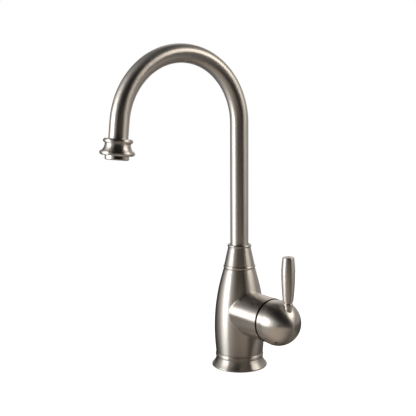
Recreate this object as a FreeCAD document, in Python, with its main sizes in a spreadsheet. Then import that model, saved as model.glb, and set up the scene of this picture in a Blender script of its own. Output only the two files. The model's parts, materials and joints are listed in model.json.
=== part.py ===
"""Gooseneck bar faucet with a swivel spout and a side lever.

Frame: +Z is up and Z = 0 is the deck. The origin is on the axis of the body. The spout points
to -Y, towards the person who uses it, and the handle stands out along +X. All sizes are in
millimetres and degrees.
"""
import FreeCAD, Part
import math
import os
import Sketcher

SHEET = "Sizes"

SIZES = {
    # Spout
    "tube_radius": (9.0, "outside radius of the spout tube"),
    "tube_wall": (1.2, "wall of the spout tube"),
    "bend_radius": (67.9, "radius of the gooseneck, to the middle of the tube"),
    "bend_angle": (174.2, "how far the gooseneck turns"),
    "bend_height": (243.5, "height of the centre of the gooseneck above the deck"),
    "outlet_run": (25.0, "straight end of the tube after the bend"),
    # Base
    "base_radius": (27.6, "foot of the base ring"),
    "base_band": (1.9, "height of the plain band round the foot"),
    "base_edge": (0.6, "chamfer under the band"),
    "base_waist_radius": (23.2, "narrow top of the flare"),
    "base_flare_height": (9.6, "top of the flare above the deck"),
    "base_flare_arc": (13.0, "radius of the hollow flare"),
    "base_height": (14.1, "top of the base ring above the deck"),
    "base_bead_radius": (24.05, "crown of the bead on the base ring"),
    "base_bead_rise": (0.65, "how far that bead stands out"),
    "base_bead_arc": (3.6, "radius of the bead's outline"),
    "base_groove": (0.2, "height of the groove under the bead"),
    "spigot_radius": (19.0, "part of the body that stands in the base ring"),
    "spigot_gap": (0.1, "clearance of the base ring round the spigot"),
    "gasket_inner": (20.6, "inside radius of the deck gasket"),
    "gasket_outer": (25.0, "outside radius of the deck gasket"),
    "gasket_height": (1.2, "thickness of the deck gasket"),
    # Body
    "foot_radius": (23.5, "body where it sits on the base ring"),
    "belly_radius": (25.0, "widest part of the body"),
    "belly_height": (40.0, "height of the widest part"),
    "belly_lower_arc": (230.0, "radius of the outline below the belly"),
    "belly_upper_arc": (192.0, "radius of the outline above the belly"),
    "body_height": (99.8, "top of the body above the deck"),
    "body_top_radius": (15.7, "body under the neck ring"),
    "edge_break": (0.35, "small chamfer on turned edges"),
    "shank_radius": (14.2, "thread bore for the mounting shank"),
    "shank_depth": (12.0, "depth of the shank thread"),
    "port_radius": (4.5, "thread bore for a supply hose"),
    "port_depth": (11.0, "depth of a hose thread"),
    "port_spread": (7.2, "distance of each hose port from the middle"),
    "duct_radius": (3.2, "supply duct inside the body"),
    "outlet_duct_radius": (4.0, "mixed water duct inside the body"),
    "supply_drop": (6.2, "supply ducts below the hub axis"),
    "outlet_rise": (8.4, "mixed water duct above the hub axis"),
    # Spout socket, neck ring and bonnet
    "socket_radius": (10.5, "bore in which the spout stem turns"),
    "socket_depth": (22.8, "depth of that bore below the top of the body"),
    "neck_thread_radius": (13.4, "thread between the body and the bonnet"),
    "neck_thread_length": (8.0, "engaged length of that thread"),
    "neck_ring_height": (3.1, "height of the neck ring"),
    "neck_ring_radius": (15.97, "crown of the neck ring"),
    "neck_ring_rise": (0.64, "how far the neck ring's bead stands out"),
    "neck_ring_arc": (2.2, "radius of the bead on the neck ring"),
    "bonnet_foot_radius": (15.1, "bonnet above the neck ring"),
    "bonnet_neck_radius": (11.2, "bonnet under its lip"),
    "bonnet_bead_radius": (11.9, "crown of the bead on the bonnet's lip"),
    "bonnet_bead_size": (1.35, "radius of that bead"),
    "bonnet_height": (20.6, "top of the lip above the neck ring"),
    "bonnet_bore": (12.0, "lower bore of the bonnet"),
    "lip_gap": (0.25, "clearance of the lip round the tube"),
    "lip_depth": (0.6, "thickness of the lip over the slip ring"),
    "slip_ring_height": (10.0, "height of the slip ring inside the bonnet"),
    "slip_ring_wall": (1.4, "wall of the slip ring"),
    "running_gap": (0.08, "radial clearance of turning fits"),
    "thrust_gap": (0.1, "end clearance of turning fits"),
    "thrust_height": (1.5, "thickness of the thrust ring"),
    "shoulder_rise": (2.1, "shoulder that carries the tube, above the neck ring"),
    "stem_bore": (6.0, "water way through the spout stem"),
    "stem_spigot_length": (13.0, "part of the spout stem inside the tube"),
    "end_room": (1.0, "free length beside the ends of turning pieces"),
    "oring_section": (0.9, "radius of the section of the spout's sealing rings"),
    "oring_first": (6.0, "first sealing ring above the socket floor"),
    "oring_pitch": (5.0, "distance between the two sealing rings"),
    # Hub and cartridge
    "hub_height": (56.5, "hub axis above the deck"),
    "hub_radius": (21.4, "outside radius of the hub"),
    "hub_length": (51.0, "end face of the hub from the body axis"),
    "hub_edge": (0.5, "chamfer on the end of the hub"),
    "hub_fillet": (1.2, "fillet where the hub meets the body"),
    "cartridge_radius": (17.3, "outside radius of the cartridge"),
    "cartridge_gap": (0.1, "clearance of the cartridge in its bore"),
    "cartridge_depth": (32.5, "cartridge seat behind the end face of the hub"),
    "cartridge_base_height": (6.0, "thickness of the cartridge's base"),
    "disc_radius": (12.4, "radius of the ceramic discs"),
    "disc_height": (3.6, "thickness of each ceramic disc"),
    "disc_gap": (0.05, "water film between parts that turn on each other"),
    "housing_wall": (4.2, "end wall of the cartridge housing"),
    "carrier_height": (3.2, "thickness of the disc carrier on the cartridge stem"),
    "neck_radius": (10.4, "neck of the cartridge housing"),
    "neck_length": (8.0, "length of that neck"),
    "nut_radius": (18.1, "thread of the cartridge nut"),
    "nut_bore": (11.4, "opening of the cartridge nut"),
    "nut_height": (9.0, "height of the cartridge nut"),
    "nut_slot_width": (3.0, "width of a spanner slot in the cartridge nut"),
    "nut_slot_depth": (3.0, "depth of a spanner slot"),
    "spindle_radius": (5.6, "round part of the cartridge stem"),
    "spindle_square": (7.4, "square end of the cartridge stem, across its flats"),
    "spindle_reach": (24.5, "length of the square end"),
    "spindle_ring_section": (0.8, "radius of the section of the stem's sealing ring"),
    "seal_section": (0.9, "radius of the section of the seat seals"),
    "disc_port_inset": (0.6, "how much smaller the fixed disc's holes are than the ports"),
    "mixing_rim": (3.2, "rim round the hollow of the moving disc"),
    # Handle
    "handle_gap": (0.7, "gap between the hub and the knob"),
    "skirt_radius": (20.8, "cylindrical skirt of the knob"),
    "skirt_length": (5.9, "length of the skirt"),
    "ball_radius": (21.8, "ball of the knob"),
    "ball_reach": (9.0, "centre of the ball beyond the end face of the hub"),
    "skirt_wall": (2.6, "wall of the skirt"),
    "cavity_depth": (9.0, "depth of the hollow in the knob"),
    "lever_reach": (13.8, "lever beyond the centre of the ball"),
    "lever_thread_radius": (3.0, "threaded end of the lever"),
    "lever_thread_length": (7.0, "length of the threaded end"),
    "lever_seat_depth": (0.4, "how deep the lever's shoulder sits in the ball"),
    "lever_neck_radius": (3.55, "neck of the lever"),
    "lever_ring_radius": (4.7, "ring on the lever"),
    "lever_ring_height": (2.0, "height of that ring"),
    "lever_ring_edge": (0.35, "how far the ring's crown stands out"),
    "lever_ring_rise": (7.95, "ring above the lever's shoulder"),
    "lever_grip_rise": (10.2, "start of the grip above the shoulder"),
    "lever_grip_foot": (4.9, "radius of the grip at its foot"),
    "lever_grip_edge": (0.5, "chamfer at the foot of the grip"),
    "lever_grip_radius": (6.55, "widest part of the grip"),
    "lever_grip_widest": (36.2, "widest part above the shoulder"),
    "lever_grip_top": (5.45, "radius of the grip at its top"),
    "lever_lower_arc": (230.0, "radius of the grip's outline below its widest part"),
    "lever_upper_arc": (135.0, "radius of the grip's outline above it"),
    "lever_length": (52.8, "top of the lever above its shoulder"),
    "lever_top_edge": (0.4, "chamfer on the top of the lever"),
    "screw_reach": (10.5, "set screw beyond the centre of the ball"),
    "screw_angle": (142.8, "direction of the set screw round the hub axis, from straight up"),
    "screw_radius": (2.0, "thread of the set screw"),
    "screw_length": (7.0, "length of the set screw"),
    "screw_socket": (1.25, "radius of the set screw's key socket"),
    "screw_socket_depth": (2.5, "depth of that socket"),
    # Outlet, measured along the tube from the end of the bend
    "collar_start": (15.4, "top of the outlet collar"),
    "collar_upper_radius": (13.6, "crown of the upper flange"),
    "collar_upper_centre": (17.6, "middle of the upper flange"),
    "collar_upper_bead": (2.1, "radius of the upper flange's edge"),
    "collar_waist_radius": (11.75, "waist of the collar"),
    "collar_waist_start": (20.2, "top of the waist"),
    "collar_upper_wrap": (73.4, "how far the upper flange's round edge wraps under"),
    "collar_lower_wrap": (79.6, "how far the lower flange's round edge wraps over"),
    "collar_flare_arc": (8.6, "radius of the hollow waist"),
    "collar_lower_radius": (16.1, "crown of the lower flange"),
    "collar_lower_centre": (28.4, "middle of the lower flange"),
    "collar_lower_bead": (2.2, "radius of the lower flange's edge"),
    "collar_foot_radius": (11.9, "underside of the collar beside the aerator"),
    "collar_foot_gap": (0.3, "groove between the collar and the aerator"),
    "tube_ledge": (0.8, "ledge in the collar under the end of the tube"),
    "aerator_thread_radius": (10.1, "thread between the collar and the aerator"),
    "aerator_thread_length": (4.2, "length of that thread"),
    "aerator_radius": (11.05, "visible ring of the aerator"),
    "aerator_ring_height": (4.3, "height of that ring"),
    "aerator_edge": (0.7, "chamfer on the ring"),
    "aerator_bore": (8.8, "bore of the aerator"),
    "aerator_lip": (0.8, "lip under the aerator's screen"),
    "aerator_lip_radius": (7.9, "opening of that lip"),
    "washer_height": (1.5, "thickness of the aerator washer"),
    "screen_height": (1.0, "thickness of the aerator screen"),
    "screen_hole": (0.8, "radius of a hole in the screen"),
    "insert_height": (4.0, "height of the flow insert"),
    "insert_hole": (0.9, "radius of a hole in the flow insert"),
    "insert_circle": (5.6, "radius of the circle of holes in the flow insert"),
}

INSERT_HOLES = 10
SCREEN_RINGS = ((2.6, 6), (5.2, 12))
NUT_SLOTS = 6

document = FreeCAD.newDocument("bar_faucet")
sheet = document.addObject("Spreadsheet::Sheet", SHEET)


class Size:
    """A length or an angle: its value, and the sheet expression that it follows."""

    def __init__(self, value, text):
        self.value = value
        self.text = text

    def __add__(self, other):
        other = as_size(other)
        return Size(self.value + other.value, f"({self.text} + {other.text})")

    def __sub__(self, other):
        other = as_size(other)
        return Size(self.value - other.value, f"({self.text} - {other.text})")

    def __mul__(self, other):
        other = as_size(other)
        return Size(self.value * other.value, f"({self.text} * {other.text})")

    def __truediv__(self, other):
        other = as_size(other)
        return Size(self.value / other.value, f"({self.text} / {other.text})")

    def __neg__(self):
        return Size(-self.value, f"(0 - {self.text})")


def as_size(number):
    """Return a Size, also for a plain number."""
    return number if isinstance(number, Size) else Size(float(number), repr(float(number)))


def size(alias):
    """Return the Size of a named cell of the sheet."""
    return Size(SIZES[alias][0], f"{SHEET}.{alias}")


def sine(angle):
    return Size(math.sin(math.radians(angle.value)), f"sin({angle.text} * 1 deg)")


def cosine(angle):
    return Size(math.cos(math.radians(angle.value)), f"cos({angle.text} * 1 deg)")


def root(number):
    return Size(math.sqrt(number.value), f"sqrt({number.text})")


def fill_sheet():
    """Write every driving dimension to the sheet, with its alias and its meaning."""
    for row, (alias, (number, meaning)) in enumerate(SIZES.items(), start=1):
        sheet.set(f"A{row}", meaning)
        sheet.set(f"B{row}", str(number))
        sheet.setAlias(f"B{row}", alias)
    document.recompute()


def origin_plane(body, role):
    """Return one of the body's own origin planes."""
    return next(item for item in body.Origin.OriginFeatures if item.Role == role)


def new_sketch(body, name, role="XZ_Plane"):
    """Add a sketch on one of the body's own planes."""
    sketch = body.newObject("Sketcher::SketchObject", name)
    sketch.AttachmentSupport = (origin_plane(body, role), [""])
    sketch.MapMode = "FlatFace"
    return sketch


def bind(sketch, constraint, amount):
    """Add a constraint whose value follows the sheet."""
    index = sketch.addConstraint(constraint)
    sketch.setExpression(f"Constraints[{index}]", amount.text)


def pin_coordinate(sketch, kind, edge, end, amount):
    """Hold one coordinate of a point at a Size from the sketch's origin."""
    if abs(amount.value) < 1e-9:
        axis = -2 if kind == "DistanceX" else -1
        sketch.addConstraint(Sketcher.Constraint("PointOnObject", edge, end, axis))
    elif amount.value > 0:
        bind(sketch, Sketcher.Constraint(kind, -1, 1, edge, end, amount.value), amount)
    else:
        opposite = -amount
        bind(sketch, Sketcher.Constraint(kind, edge, end, -1, 1, opposite.value), opposite)


def pin_point(sketch, edge, end, across, along):
    """Hold a point of a sketch at two Sizes from the origin."""
    pin_coordinate(sketch, "DistanceX", edge, end, as_size(across))
    pin_coordinate(sketch, "DistanceY", edge, end, as_size(along))


def arc_between(start, end, radius, turn):
    """Return the arc from start to end; turn is 1 for anticlockwise and -1 for clockwise."""
    middle = ((start[0] + end[0]) / 2, (start[1] + end[1]) / 2)
    chord = (end[0] - start[0], end[1] - start[1])
    length = math.hypot(*chord)
    rise = math.sqrt(radius ** 2 - (length / 2) ** 2)
    centre = (middle[0] - turn * rise * chord[1] / length, middle[1] + turn * rise * chord[0] / length)
    first, last = (start, end) if turn > 0 else (end, start)
    angles = [math.atan2(point[1] - centre[1], point[0] - centre[0]) for point in (first, last)]
    if angles[1] < angles[0]:
        angles[1] += 2 * math.pi
    circle = Part.Circle(FreeCAD.Vector(*centre, 0), FreeCAD.Vector(0, 0, 1), radius)
    return Part.ArcOfCircle(circle, *angles)


def draw_outline(sketch, start, steps, closed=True):
    """Draw lines and arcs from point to point, with every point and radius bound to the sheet.

    A step is (across, along) for a line, or (across, along, radius, turn) for an arc. The last
    step of a closed outline comes back to the start.
    """
    corners = [tuple(as_size(part) for part in start)]
    corners += [tuple(as_size(part) for part in step[:2]) for step in steps]
    ends = []
    for number, step in enumerate(steps):
        here, there = [tuple(part.value for part in corner) for corner in corners[number:number + 2]]
        if len(step) == 2:
            edge = sketch.addGeometry(Part.LineSegment(FreeCAD.Vector(*here, 0), FreeCAD.Vector(*there, 0)))
            ends.append((edge, 1, 2))
        else:
            radius, turn = as_size(step[2]), step[3]
            edge = sketch.addGeometry(arc_between(here, there, radius.value, turn))
            ends.append((edge, 1, 2) if turn > 0 else (edge, 2, 1))
            bind(sketch, Sketcher.Constraint("Radius", edge, radius.value), radius)
    for number, (edge, first, last) in enumerate(ends):
        pin_point(sketch, edge, first, *corners[number])
        following = ends[(number + 1) % len(ends)]
        if closed or number + 1 < len(ends):
            sketch.addConstraint(Sketcher.Constraint("Coincident", edge, last, following[0], following[1]))
        else:
            pin_point(sketch, edge, last, *corners[number + 1])


def draw_circle(sketch, across, along, radius):
    """Draw a circle whose centre and radius follow the sheet."""
    across, along, radius = as_size(across), as_size(along), as_size(radius)
    centre = FreeCAD.Vector(across.value, along.value, 0)
    edge = sketch.addGeometry(Part.Circle(centre, FreeCAD.Vector(0, 0, 1), radius.value))
    bind(sketch, Sketcher.Constraint("Radius", edge, radius.value), radius)
    pin_point(sketch, edge, 3, across, along)


def place(item, x=None, y=None, z=None, turn_axis=None, turn=None):
    """Bind an object's position, and its turn about one axis, to the sheet."""
    if turn_axis is not None:
        item.Placement = FreeCAD.Placement(FreeCAD.Vector(), FreeCAD.Rotation(turn_axis, as_size(turn).value))
        item.setExpression("Placement.Rotation.Angle", f"{as_size(turn).text} * 1 deg")
    for name, amount in (("x", x), ("y", y), ("z", z)):
        if amount is not None:
            item.setExpression(f"Placement.Base.{name}", as_size(amount).text)
    return item


X_AXIS = FreeCAD.Vector(1, 0, 0)
Y_AXIS = FreeCAD.Vector(0, 1, 0)
Z_AXIS = FreeCAD.Vector(0, 0, 1)


def on_hub_axis(item):
    """Lay a piece that was drawn along +Z on the hub axis, pointing to +X."""
    return place(item, z=size("hub_height"), turn_axis=Y_AXIS, turn=90)


def on_outlet(item):
    """Put a piece that was drawn along +Z at the end of the gooseneck, pointing out of it."""
    angle = size("bend_angle")
    reach = size("bend_radius") * (as_size(1) - cosine(angle))
    height = size("bend_height") + size("bend_radius") * sine(angle)
    return place(item, y=-reach, z=height, turn_axis=X_AXIS, turn=angle)


def turned(name, start, steps):
    """Make a lathe-turned piece: an outline of (radius, height) points turned about +Z."""
    body = document.addObject("PartDesign::Body", name)
    sketch = new_sketch(body, f"{name}_outline")
    draw_outline(sketch, start, steps)
    return revolve(body, sketch, name)


def revolve(body, sketch, name):
    revolution = body.newObject("PartDesign::Revolution", f"{name}_turning")
    revolution.Profile = sketch
    revolution.ReferenceAxis = (sketch, ["V_Axis"])
    revolution.Angle = 360.0
    document.recompute()
    return body


def ring_of_round_section(name, centre_radius, height, section):
    """Make a sealing ring of round section."""
    body = document.addObject("PartDesign::Body", name)
    sketch = new_sketch(body, f"{name}_section")
    draw_circle(sketch, centre_radius, height, section)
    return revolve(body, sketch, name)


def tube_ring(name, inner, outer, bottom, top):
    """Make a plain ring of rectangular section."""
    return turned(name, (inner, bottom), [(outer, bottom), (outer, top), (inner, top), (inner, bottom)])


def pocket(body, name, draw, start, depth):
    """Cut upwards along +Z from a plane at a height, with the outline that draw makes."""
    sketch = new_sketch(body, f"{name}_sketch", "XY_Plane")
    sketch.setExpression("AttachmentOffset.Base.z", as_size(start).text)
    draw(sketch)
    before = body.Shape.Volume
    cut = body.newObject("PartDesign::Pocket", name)
    cut.Profile = sketch
    cut.Reversed = True
    cut.setExpression("Length", as_size(depth).text)
    document.recompute()
    if not body.Shape.Volume < before:
        raise RuntimeError(f"{name} cuts nothing")
    return cut


def repeat_round(body, feature, count):
    """Repeat a cut evenly round the piece's axis."""
    pattern = body.newObject("PartDesign::PolarPattern", f"{feature.Name}_round")
    pattern.Originals = [feature]
    pattern.Axis = (origin_plane_sketch_axis(feature), ["N_Axis"])
    pattern.Angle = 360.0
    pattern.Occurrences = count
    body.Tip = pattern
    document.recompute()
    return pattern


def origin_plane_sketch_axis(feature):
    """Return the sketch of a cut, whose normal is the piece's axis."""
    return feature.Profile[0]


def drill(name, radius, length, x=0, y=0, z=0, turn_axis=None, turn=0):
    """Make a drill: a cylinder from a point, upwards or along a turned axis."""
    cylinder = document.addObject("Part::Cylinder", name)
    cylinder.setExpression("Radius", as_size(radius).text)
    cylinder.setExpression("Height", as_size(length).text)
    return place(cylinder, x, y, z, turn_axis, turn)


def joined(name, pieces):
    fusion = document.addObject("Part::MultiFuse", name)
    fusion.Shapes = pieces
    document.recompute()
    return fusion


def without(name, base, tools):
    """Cut drills out of a piece."""
    result = document.addObject("Part::Cut", name)
    result.Base = base
    result.Tool = joined(f"{name}_drills", tools) if len(tools) > 1 else tools[0]
    document.recompute()
    return result


# Stations along the hub axis, all counted from the end face of the hub


def seat_offset():
    """Distance of the cartridge seat from the body axis."""
    return size("hub_length") - size("cartridge_depth")


def ball_offset():
    """Distance of the centre of the ball from the body axis."""
    return size("hub_length") + size("ball_reach")


def lever_offset():
    """Distance of the lever from the body axis."""
    return ball_offset() + size("lever_reach")


def screw_offset():
    """Distance of the set screw from the body axis."""
    return ball_offset() + size("screw_reach")


# Fixed pieces


def make_body():
    """Casting: a bellied body and a side hub, bored for the spout, the cartridge and the water."""
    outer = turned("body_turning", (0, 0), [
        (size("spigot_radius"), 0),
        (size("spigot_radius"), size("base_height")),
        (size("foot_radius") - size("edge_break"), size("base_height")),
        (size("foot_radius"), size("base_height") + size("edge_break")),
        (size("belly_radius"), size("belly_height"), size("belly_lower_arc"), 1),
        (size("body_top_radius"), size("body_height") - size("edge_break"), size("belly_upper_arc"), 1),
        (size("body_top_radius") - size("edge_break"), size("body_height")),
        (0, size("body_height")),
        (0, 0),
    ])
    hub = on_hub_axis(turned("hub_turning", (0, 0), [
        (size("hub_radius"), 0),
        (size("hub_radius"), size("hub_length") - size("hub_edge")),
        (size("hub_radius") - size("hub_edge"), size("hub_length")),
        (0, size("hub_length")),
        (0, 0),
    ]))
    blank = joined("body_blank", [outer, hub])
    softened = soften_hub_root(blank)
    return without("body", softened, waterways() + sockets())


def soften_hub_root(blank):
    """Round the line where the hub meets the bellied body."""
    radius = size("hub_fillet").value
    fillet = document.addObject("Part::Fillet", "body_softened")
    fillet.Base = blank
    fillet.Edges = [
        (number, radius, radius)
        for number, edge in enumerate(blank.Shape.Edges, start=1)
        if edge.Curve.TypeId == "Part::GeomBSplineCurve"
    ]
    document.recompute()
    return fillet


def waterways():
    """Drills for the shank thread, the hose ports and the ducts to and from the cartridge."""
    port_floor = size("shank_depth") + size("port_depth")
    supply_height = size("hub_height") - size("supply_drop")
    outlet_height = size("hub_height") + size("outlet_rise")
    tools = [drill("shank_bore", size("shank_radius"), size("shank_depth"))]
    for side, spread in (("hot", size("port_spread")), ("cold", -size("port_spread"))):
        riser_length = supply_height - port_floor + size("duct_radius")
        tools.append(drill(f"{side}_port", size("port_radius"), size("port_depth"), y=spread,
                           z=size("shank_depth")))
        tools.append(drill(f"{side}_riser", size("duct_radius"), riser_length, y=spread, z=port_floor))
        tools.append(drill(f"{side}_crossing", size("duct_radius"), seat_offset(), y=spread,
                           z=supply_height, turn_axis=Y_AXIS, turn=90))
    tools.append(drill("mixed_crossing", size("outlet_duct_radius"), seat_offset(), z=outlet_height,
                       turn_axis=Y_AXIS, turn=90))
    tools.append(drill("mixed_riser", size("outlet_duct_radius"), socket_floor() - outlet_height,
                       z=outlet_height))
    return tools


def sockets():
    """Drills for the cartridge and for the spout."""
    cartridge_bore = size("cartridge_radius") + size("cartridge_gap")
    thread_start = nut_start()
    return [
        drill("cartridge_bore", cartridge_bore, size("cartridge_depth"), x=seat_offset(),
              z=size("hub_height"), turn_axis=Y_AXIS, turn=90),
        drill("nut_thread", size("nut_radius"), size("hub_length") - thread_start, x=thread_start,
              z=size("hub_height"), turn_axis=Y_AXIS, turn=90),
        drill("spout_socket", size("socket_radius"), size("body_height") - socket_floor(),
              z=socket_floor()),
        drill("bonnet_thread", size("neck_thread_radius"), size("neck_thread_length"),
              z=size("body_height") - size("neck_thread_length")),
    ]


def make_base_ring():
    """Flared foot with a beaded top, slipped over the body's spigot."""
    inner = size("spigot_radius") + size("spigot_gap")
    bead_foot = size("base_flare_height") + size("base_groove")
    bead_edge = size("base_bead_radius") - size("base_bead_rise")
    return turned("base_ring", (inner, size("gasket_height")), [
        (size("gasket_inner"), size("gasket_height")),
        (size("gasket_outer"), size("gasket_height")),
        (size("gasket_outer"), 0),
        (size("base_radius") - size("base_edge"), 0),
        (size("base_radius"), size("base_edge")),
        (size("base_radius"), size("base_band")),
        (size("base_waist_radius"), size("base_flare_height"), size("base_flare_arc"), -1),
        (bead_edge, bead_foot),
        (size("base_bead_radius"), (bead_foot + size("base_height")) / 2, size("base_bead_arc"), 1),
        (bead_edge, size("base_height"), size("base_bead_arc"), 1),
        (inner, size("base_height")),
        (inner, size("gasket_height")),
    ])


def make_base_gasket():
    """Rubber ring in the recess under the base ring."""
    return tube_ring("base_gasket", size("gasket_inner"), size("gasket_outer"), 0, size("gasket_height"))


def bonnet_seat():
    """Height of the top of the neck ring, on which the bonnet sits."""
    return size("body_height") + size("neck_ring_height")


def stem_shoulder():
    """Height of the shoulder of the spout stem, on which the tube stands."""
    return bonnet_seat() + size("shoulder_rise")


def socket_floor():
    """Height of the bottom of the bore for the spout stem."""
    return size("body_height") - size("socket_depth")


def make_neck_ring():
    """Beaded trim ring clamped between the body and the bonnet."""
    edge = size("neck_ring_radius") - size("neck_ring_rise")
    middle = (size("body_height") + bonnet_seat()) / 2
    return turned("neck_ring", (size("neck_thread_radius"), size("body_height")), [
        (edge, size("body_height")),
        (size("neck_ring_radius"), middle, size("neck_ring_arc"), 1),
        (edge, bonnet_seat(), size("neck_ring_arc"), 1),
        (size("neck_thread_radius"), bonnet_seat()),
        (size("neck_thread_radius"), size("body_height")),
    ])


def slip_ring_radius():
    """Bore of the bonnet round the slip ring."""
    return size("tube_radius") + size("running_gap") + size("slip_ring_wall")


def bonnet_top():
    return bonnet_seat() + size("bonnet_height")


def bonnet_step():
    """Height of the step in the bonnet that keeps the spout from rising."""
    return stem_shoulder() + size("thrust_height") + size("thrust_gap")


def make_spout_bonnet():
    """Tapered nut that screws into the body and holds the spout down."""
    top = bonnet_top()
    bead = size("bonnet_bead_size")
    bead_centre = top - bead
    lip_floor = top - size("lip_depth")
    lip_radius = size("tube_radius") + size("lip_gap")
    neck_rise = root(bead * bead - (size("bonnet_neck_radius") - size("bonnet_bead_radius") + bead)
                     * (size("bonnet_neck_radius") - size("bonnet_bead_radius") + bead))
    return turned("spout_bonnet", (size("bonnet_bore"), size("body_height") - size("neck_thread_length")), [
        (size("neck_thread_radius"), size("body_height") - size("neck_thread_length")),
        (size("neck_thread_radius"), bonnet_seat()),
        (size("bonnet_foot_radius") - size("edge_break"), bonnet_seat()),
        (size("bonnet_foot_radius"), bonnet_seat() + size("edge_break")),
        (size("bonnet_neck_radius"), bead_centre - neck_rise),
        (size("bonnet_bead_radius"), bead_centre, bead, 1),
        (size("bonnet_bead_radius") - bead, top, bead, 1),
        (lip_radius, lip_floor),
        (lip_radius, lip_floor - size("lip_depth")),
        (slip_ring_radius(), lip_floor - size("lip_depth")),
        (slip_ring_radius(), bonnet_step()),
        (size("bonnet_bore"), bonnet_step()),
        (size("bonnet_bore"), size("body_height") - size("neck_thread_length")),
    ])


def make_slip_ring():
    """Plastic bearing between the bonnet and the turning tube."""
    top = bonnet_top() - size("lip_depth") * 2
    return tube_ring("slip_ring", size("tube_radius") + size("running_gap"), slip_ring_radius(),
                     top - size("slip_ring_height"), top)


def make_guide_bush():
    """Plastic bush round the spout stem inside the bonnet."""
    bottom = size("body_height") - size("neck_thread_length")
    return tube_ring("guide_bush", stem_radius() + size("running_gap"), size("bonnet_bore"), bottom,
                     stem_shoulder() - size("end_room"))


def base_top():
    """Distance of the top of the cartridge's base from the body axis."""
    return seat_offset() + size("cartridge_base_height")


def nut_start():
    """Distance of the cartridge nut's inner face from the body axis."""
    return (base_top() + size("disc_height") * 2 + size("disc_gap") * 2 + size("carrier_height")
            + size("housing_wall"))


def port_places():
    """Places of the three cartridge ports across the hub axis: (downwards, sideways)."""
    return (
        (size("supply_drop"), size("port_spread"), size("duct_radius")),
        (size("supply_drop"), -size("port_spread"), size("duct_radius")),
        (-size("outlet_rise"), as_size(0), size("outlet_duct_radius")),
    )


def make_cartridge_base():
    """Bottom of the cartridge, with three ports and a groove round each for its seal."""
    body = tube_free_disc("cartridge_base", size("cartridge_radius"), seat_offset(), base_top())
    groove = size("seal_section") * 2
    for number, (down, aside, radius) in enumerate(port_places(), start=1):
        pocket(body, f"base_port_{number}", lambda sketch: draw_circle(sketch, down, aside, radius),
               seat_offset(), size("cartridge_base_height"))
        pocket(body, f"base_groove_{number}",
               lambda sketch: draw_circle(sketch, down, aside, radius + groove), seat_offset(), groove)
    return on_hub_axis(body)


def tube_free_disc(name, radius, bottom, top):
    """Make a plain solid disc."""
    return turned(name, (0, bottom), [(radius, bottom), (radius, top), (0, top), (0, bottom)])


def make_cartridge_seals():
    """Three rings that seal the ports against the seat in the body."""
    rings = []
    section = size("seal_section")
    for number, (down, aside, radius) in enumerate(port_places(), start=1):
        ring = document.addObject("Part::Torus", f"seat_seal_{number}")
        ring.setExpression("Radius1", (radius + section).text)
        ring.setExpression("Radius2", section.text)
        rings.append(place(ring, x=seat_offset() + section, y=aside, z=size("hub_height") - down,
                           turn_axis=Y_AXIS, turn=90))
    group = document.addObject("Part::Compound", "cartridge_seals")
    group.Links = rings
    document.recompute()
    return group


def make_fixed_disc():
    """Ceramic disc that stays with the cartridge's base, with a hole over each port."""
    body = tube_free_disc("fixed_disc", size("disc_radius"), base_top(), base_top() + size("disc_height"))
    for number, (down, aside, radius) in enumerate(port_places(), start=1):
        inset = radius - size("disc_port_inset")
        pocket(body, f"disc_port_{number}", lambda sketch: draw_circle(sketch, down, aside, inset),
               base_top(), size("disc_height"))
    return on_hub_axis(body)


def moving_disc_bottom():
    return base_top() + size("disc_height") + size("disc_gap")


def carrier_bottom():
    return moving_disc_bottom() + size("disc_height")


def carrier_top():
    return carrier_bottom() + size("carrier_height")


def housing_inner():
    """Inside radius of the cartridge housing, clear of the discs."""
    return size("disc_radius") + size("running_gap")


def make_cartridge_housing():
    """Plastic cup over the discs, with a neck that guides the cartridge stem."""
    wall_bottom = carrier_top() + size("disc_gap")
    wall_top = wall_bottom + size("housing_wall")
    bore = size("spindle_radius") + size("running_gap")
    return on_hub_axis(turned("cartridge_housing", (housing_inner(), base_top()), [
        (size("cartridge_radius"), base_top()),
        (size("cartridge_radius"), wall_top),
        (size("neck_radius"), wall_top),
        (size("neck_radius"), wall_top + size("neck_length")),
        (bore, wall_top + size("neck_length")),
        (bore, wall_bottom),
        (housing_inner(), wall_bottom),
        (housing_inner(), base_top()),
    ]))


def make_cartridge_nut():
    """Brass ring nut that clamps the cartridge, with slots for a spanner."""
    start = nut_start()
    end = start + size("nut_height")
    body = turned("cartridge_nut", (size("nut_bore"), start), [
        (size("nut_radius"), start),
        (size("nut_radius"), end - size("edge_break")),
        (size("nut_radius") - size("edge_break"), end),
        (size("nut_bore") + size("edge_break"), end),
        (size("nut_bore"), end - size("edge_break")),
        (size("nut_bore"), start),
    ])
    half = size("nut_slot_width") / 2
    reach = (size("nut_bore") + size("nut_radius")) / 2

    def slot(sketch):
        inside = size("nut_bore") / 2
        draw_outline(sketch, (-half, inside), [(half, inside), (half, reach), (-half, reach), (-half, inside)])

    cut = pocket(body, "spanner_slot", slot, end - size("nut_slot_depth"), size("nut_slot_depth"))
    repeat_round(body, cut, NUT_SLOTS)
    return on_hub_axis(body)


# Pieces that turn with the handle


def make_moving_disc():
    """Ceramic disc that turns with the handle, hollowed on its working face."""
    body = tube_free_disc("moving_disc", size("disc_radius") - size("disc_gap"), moving_disc_bottom(),
                          carrier_bottom())

    def hollow(sketch):
        draw_circle(sketch, 0, 0, size("disc_radius") - size("mixing_rim"))

    pocket(body, "mixing_hollow", hollow, moving_disc_bottom(), size("disc_height") / 2)
    return on_hub_axis(body)


def spindle_shoulder():
    """Distance of the square's inner end from the body axis, just clear of the housing's neck."""
    return nut_start() + size("neck_length") + size("end_room")


def spindle_ring_height():
    return nut_start() + size("neck_length") / 2


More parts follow.
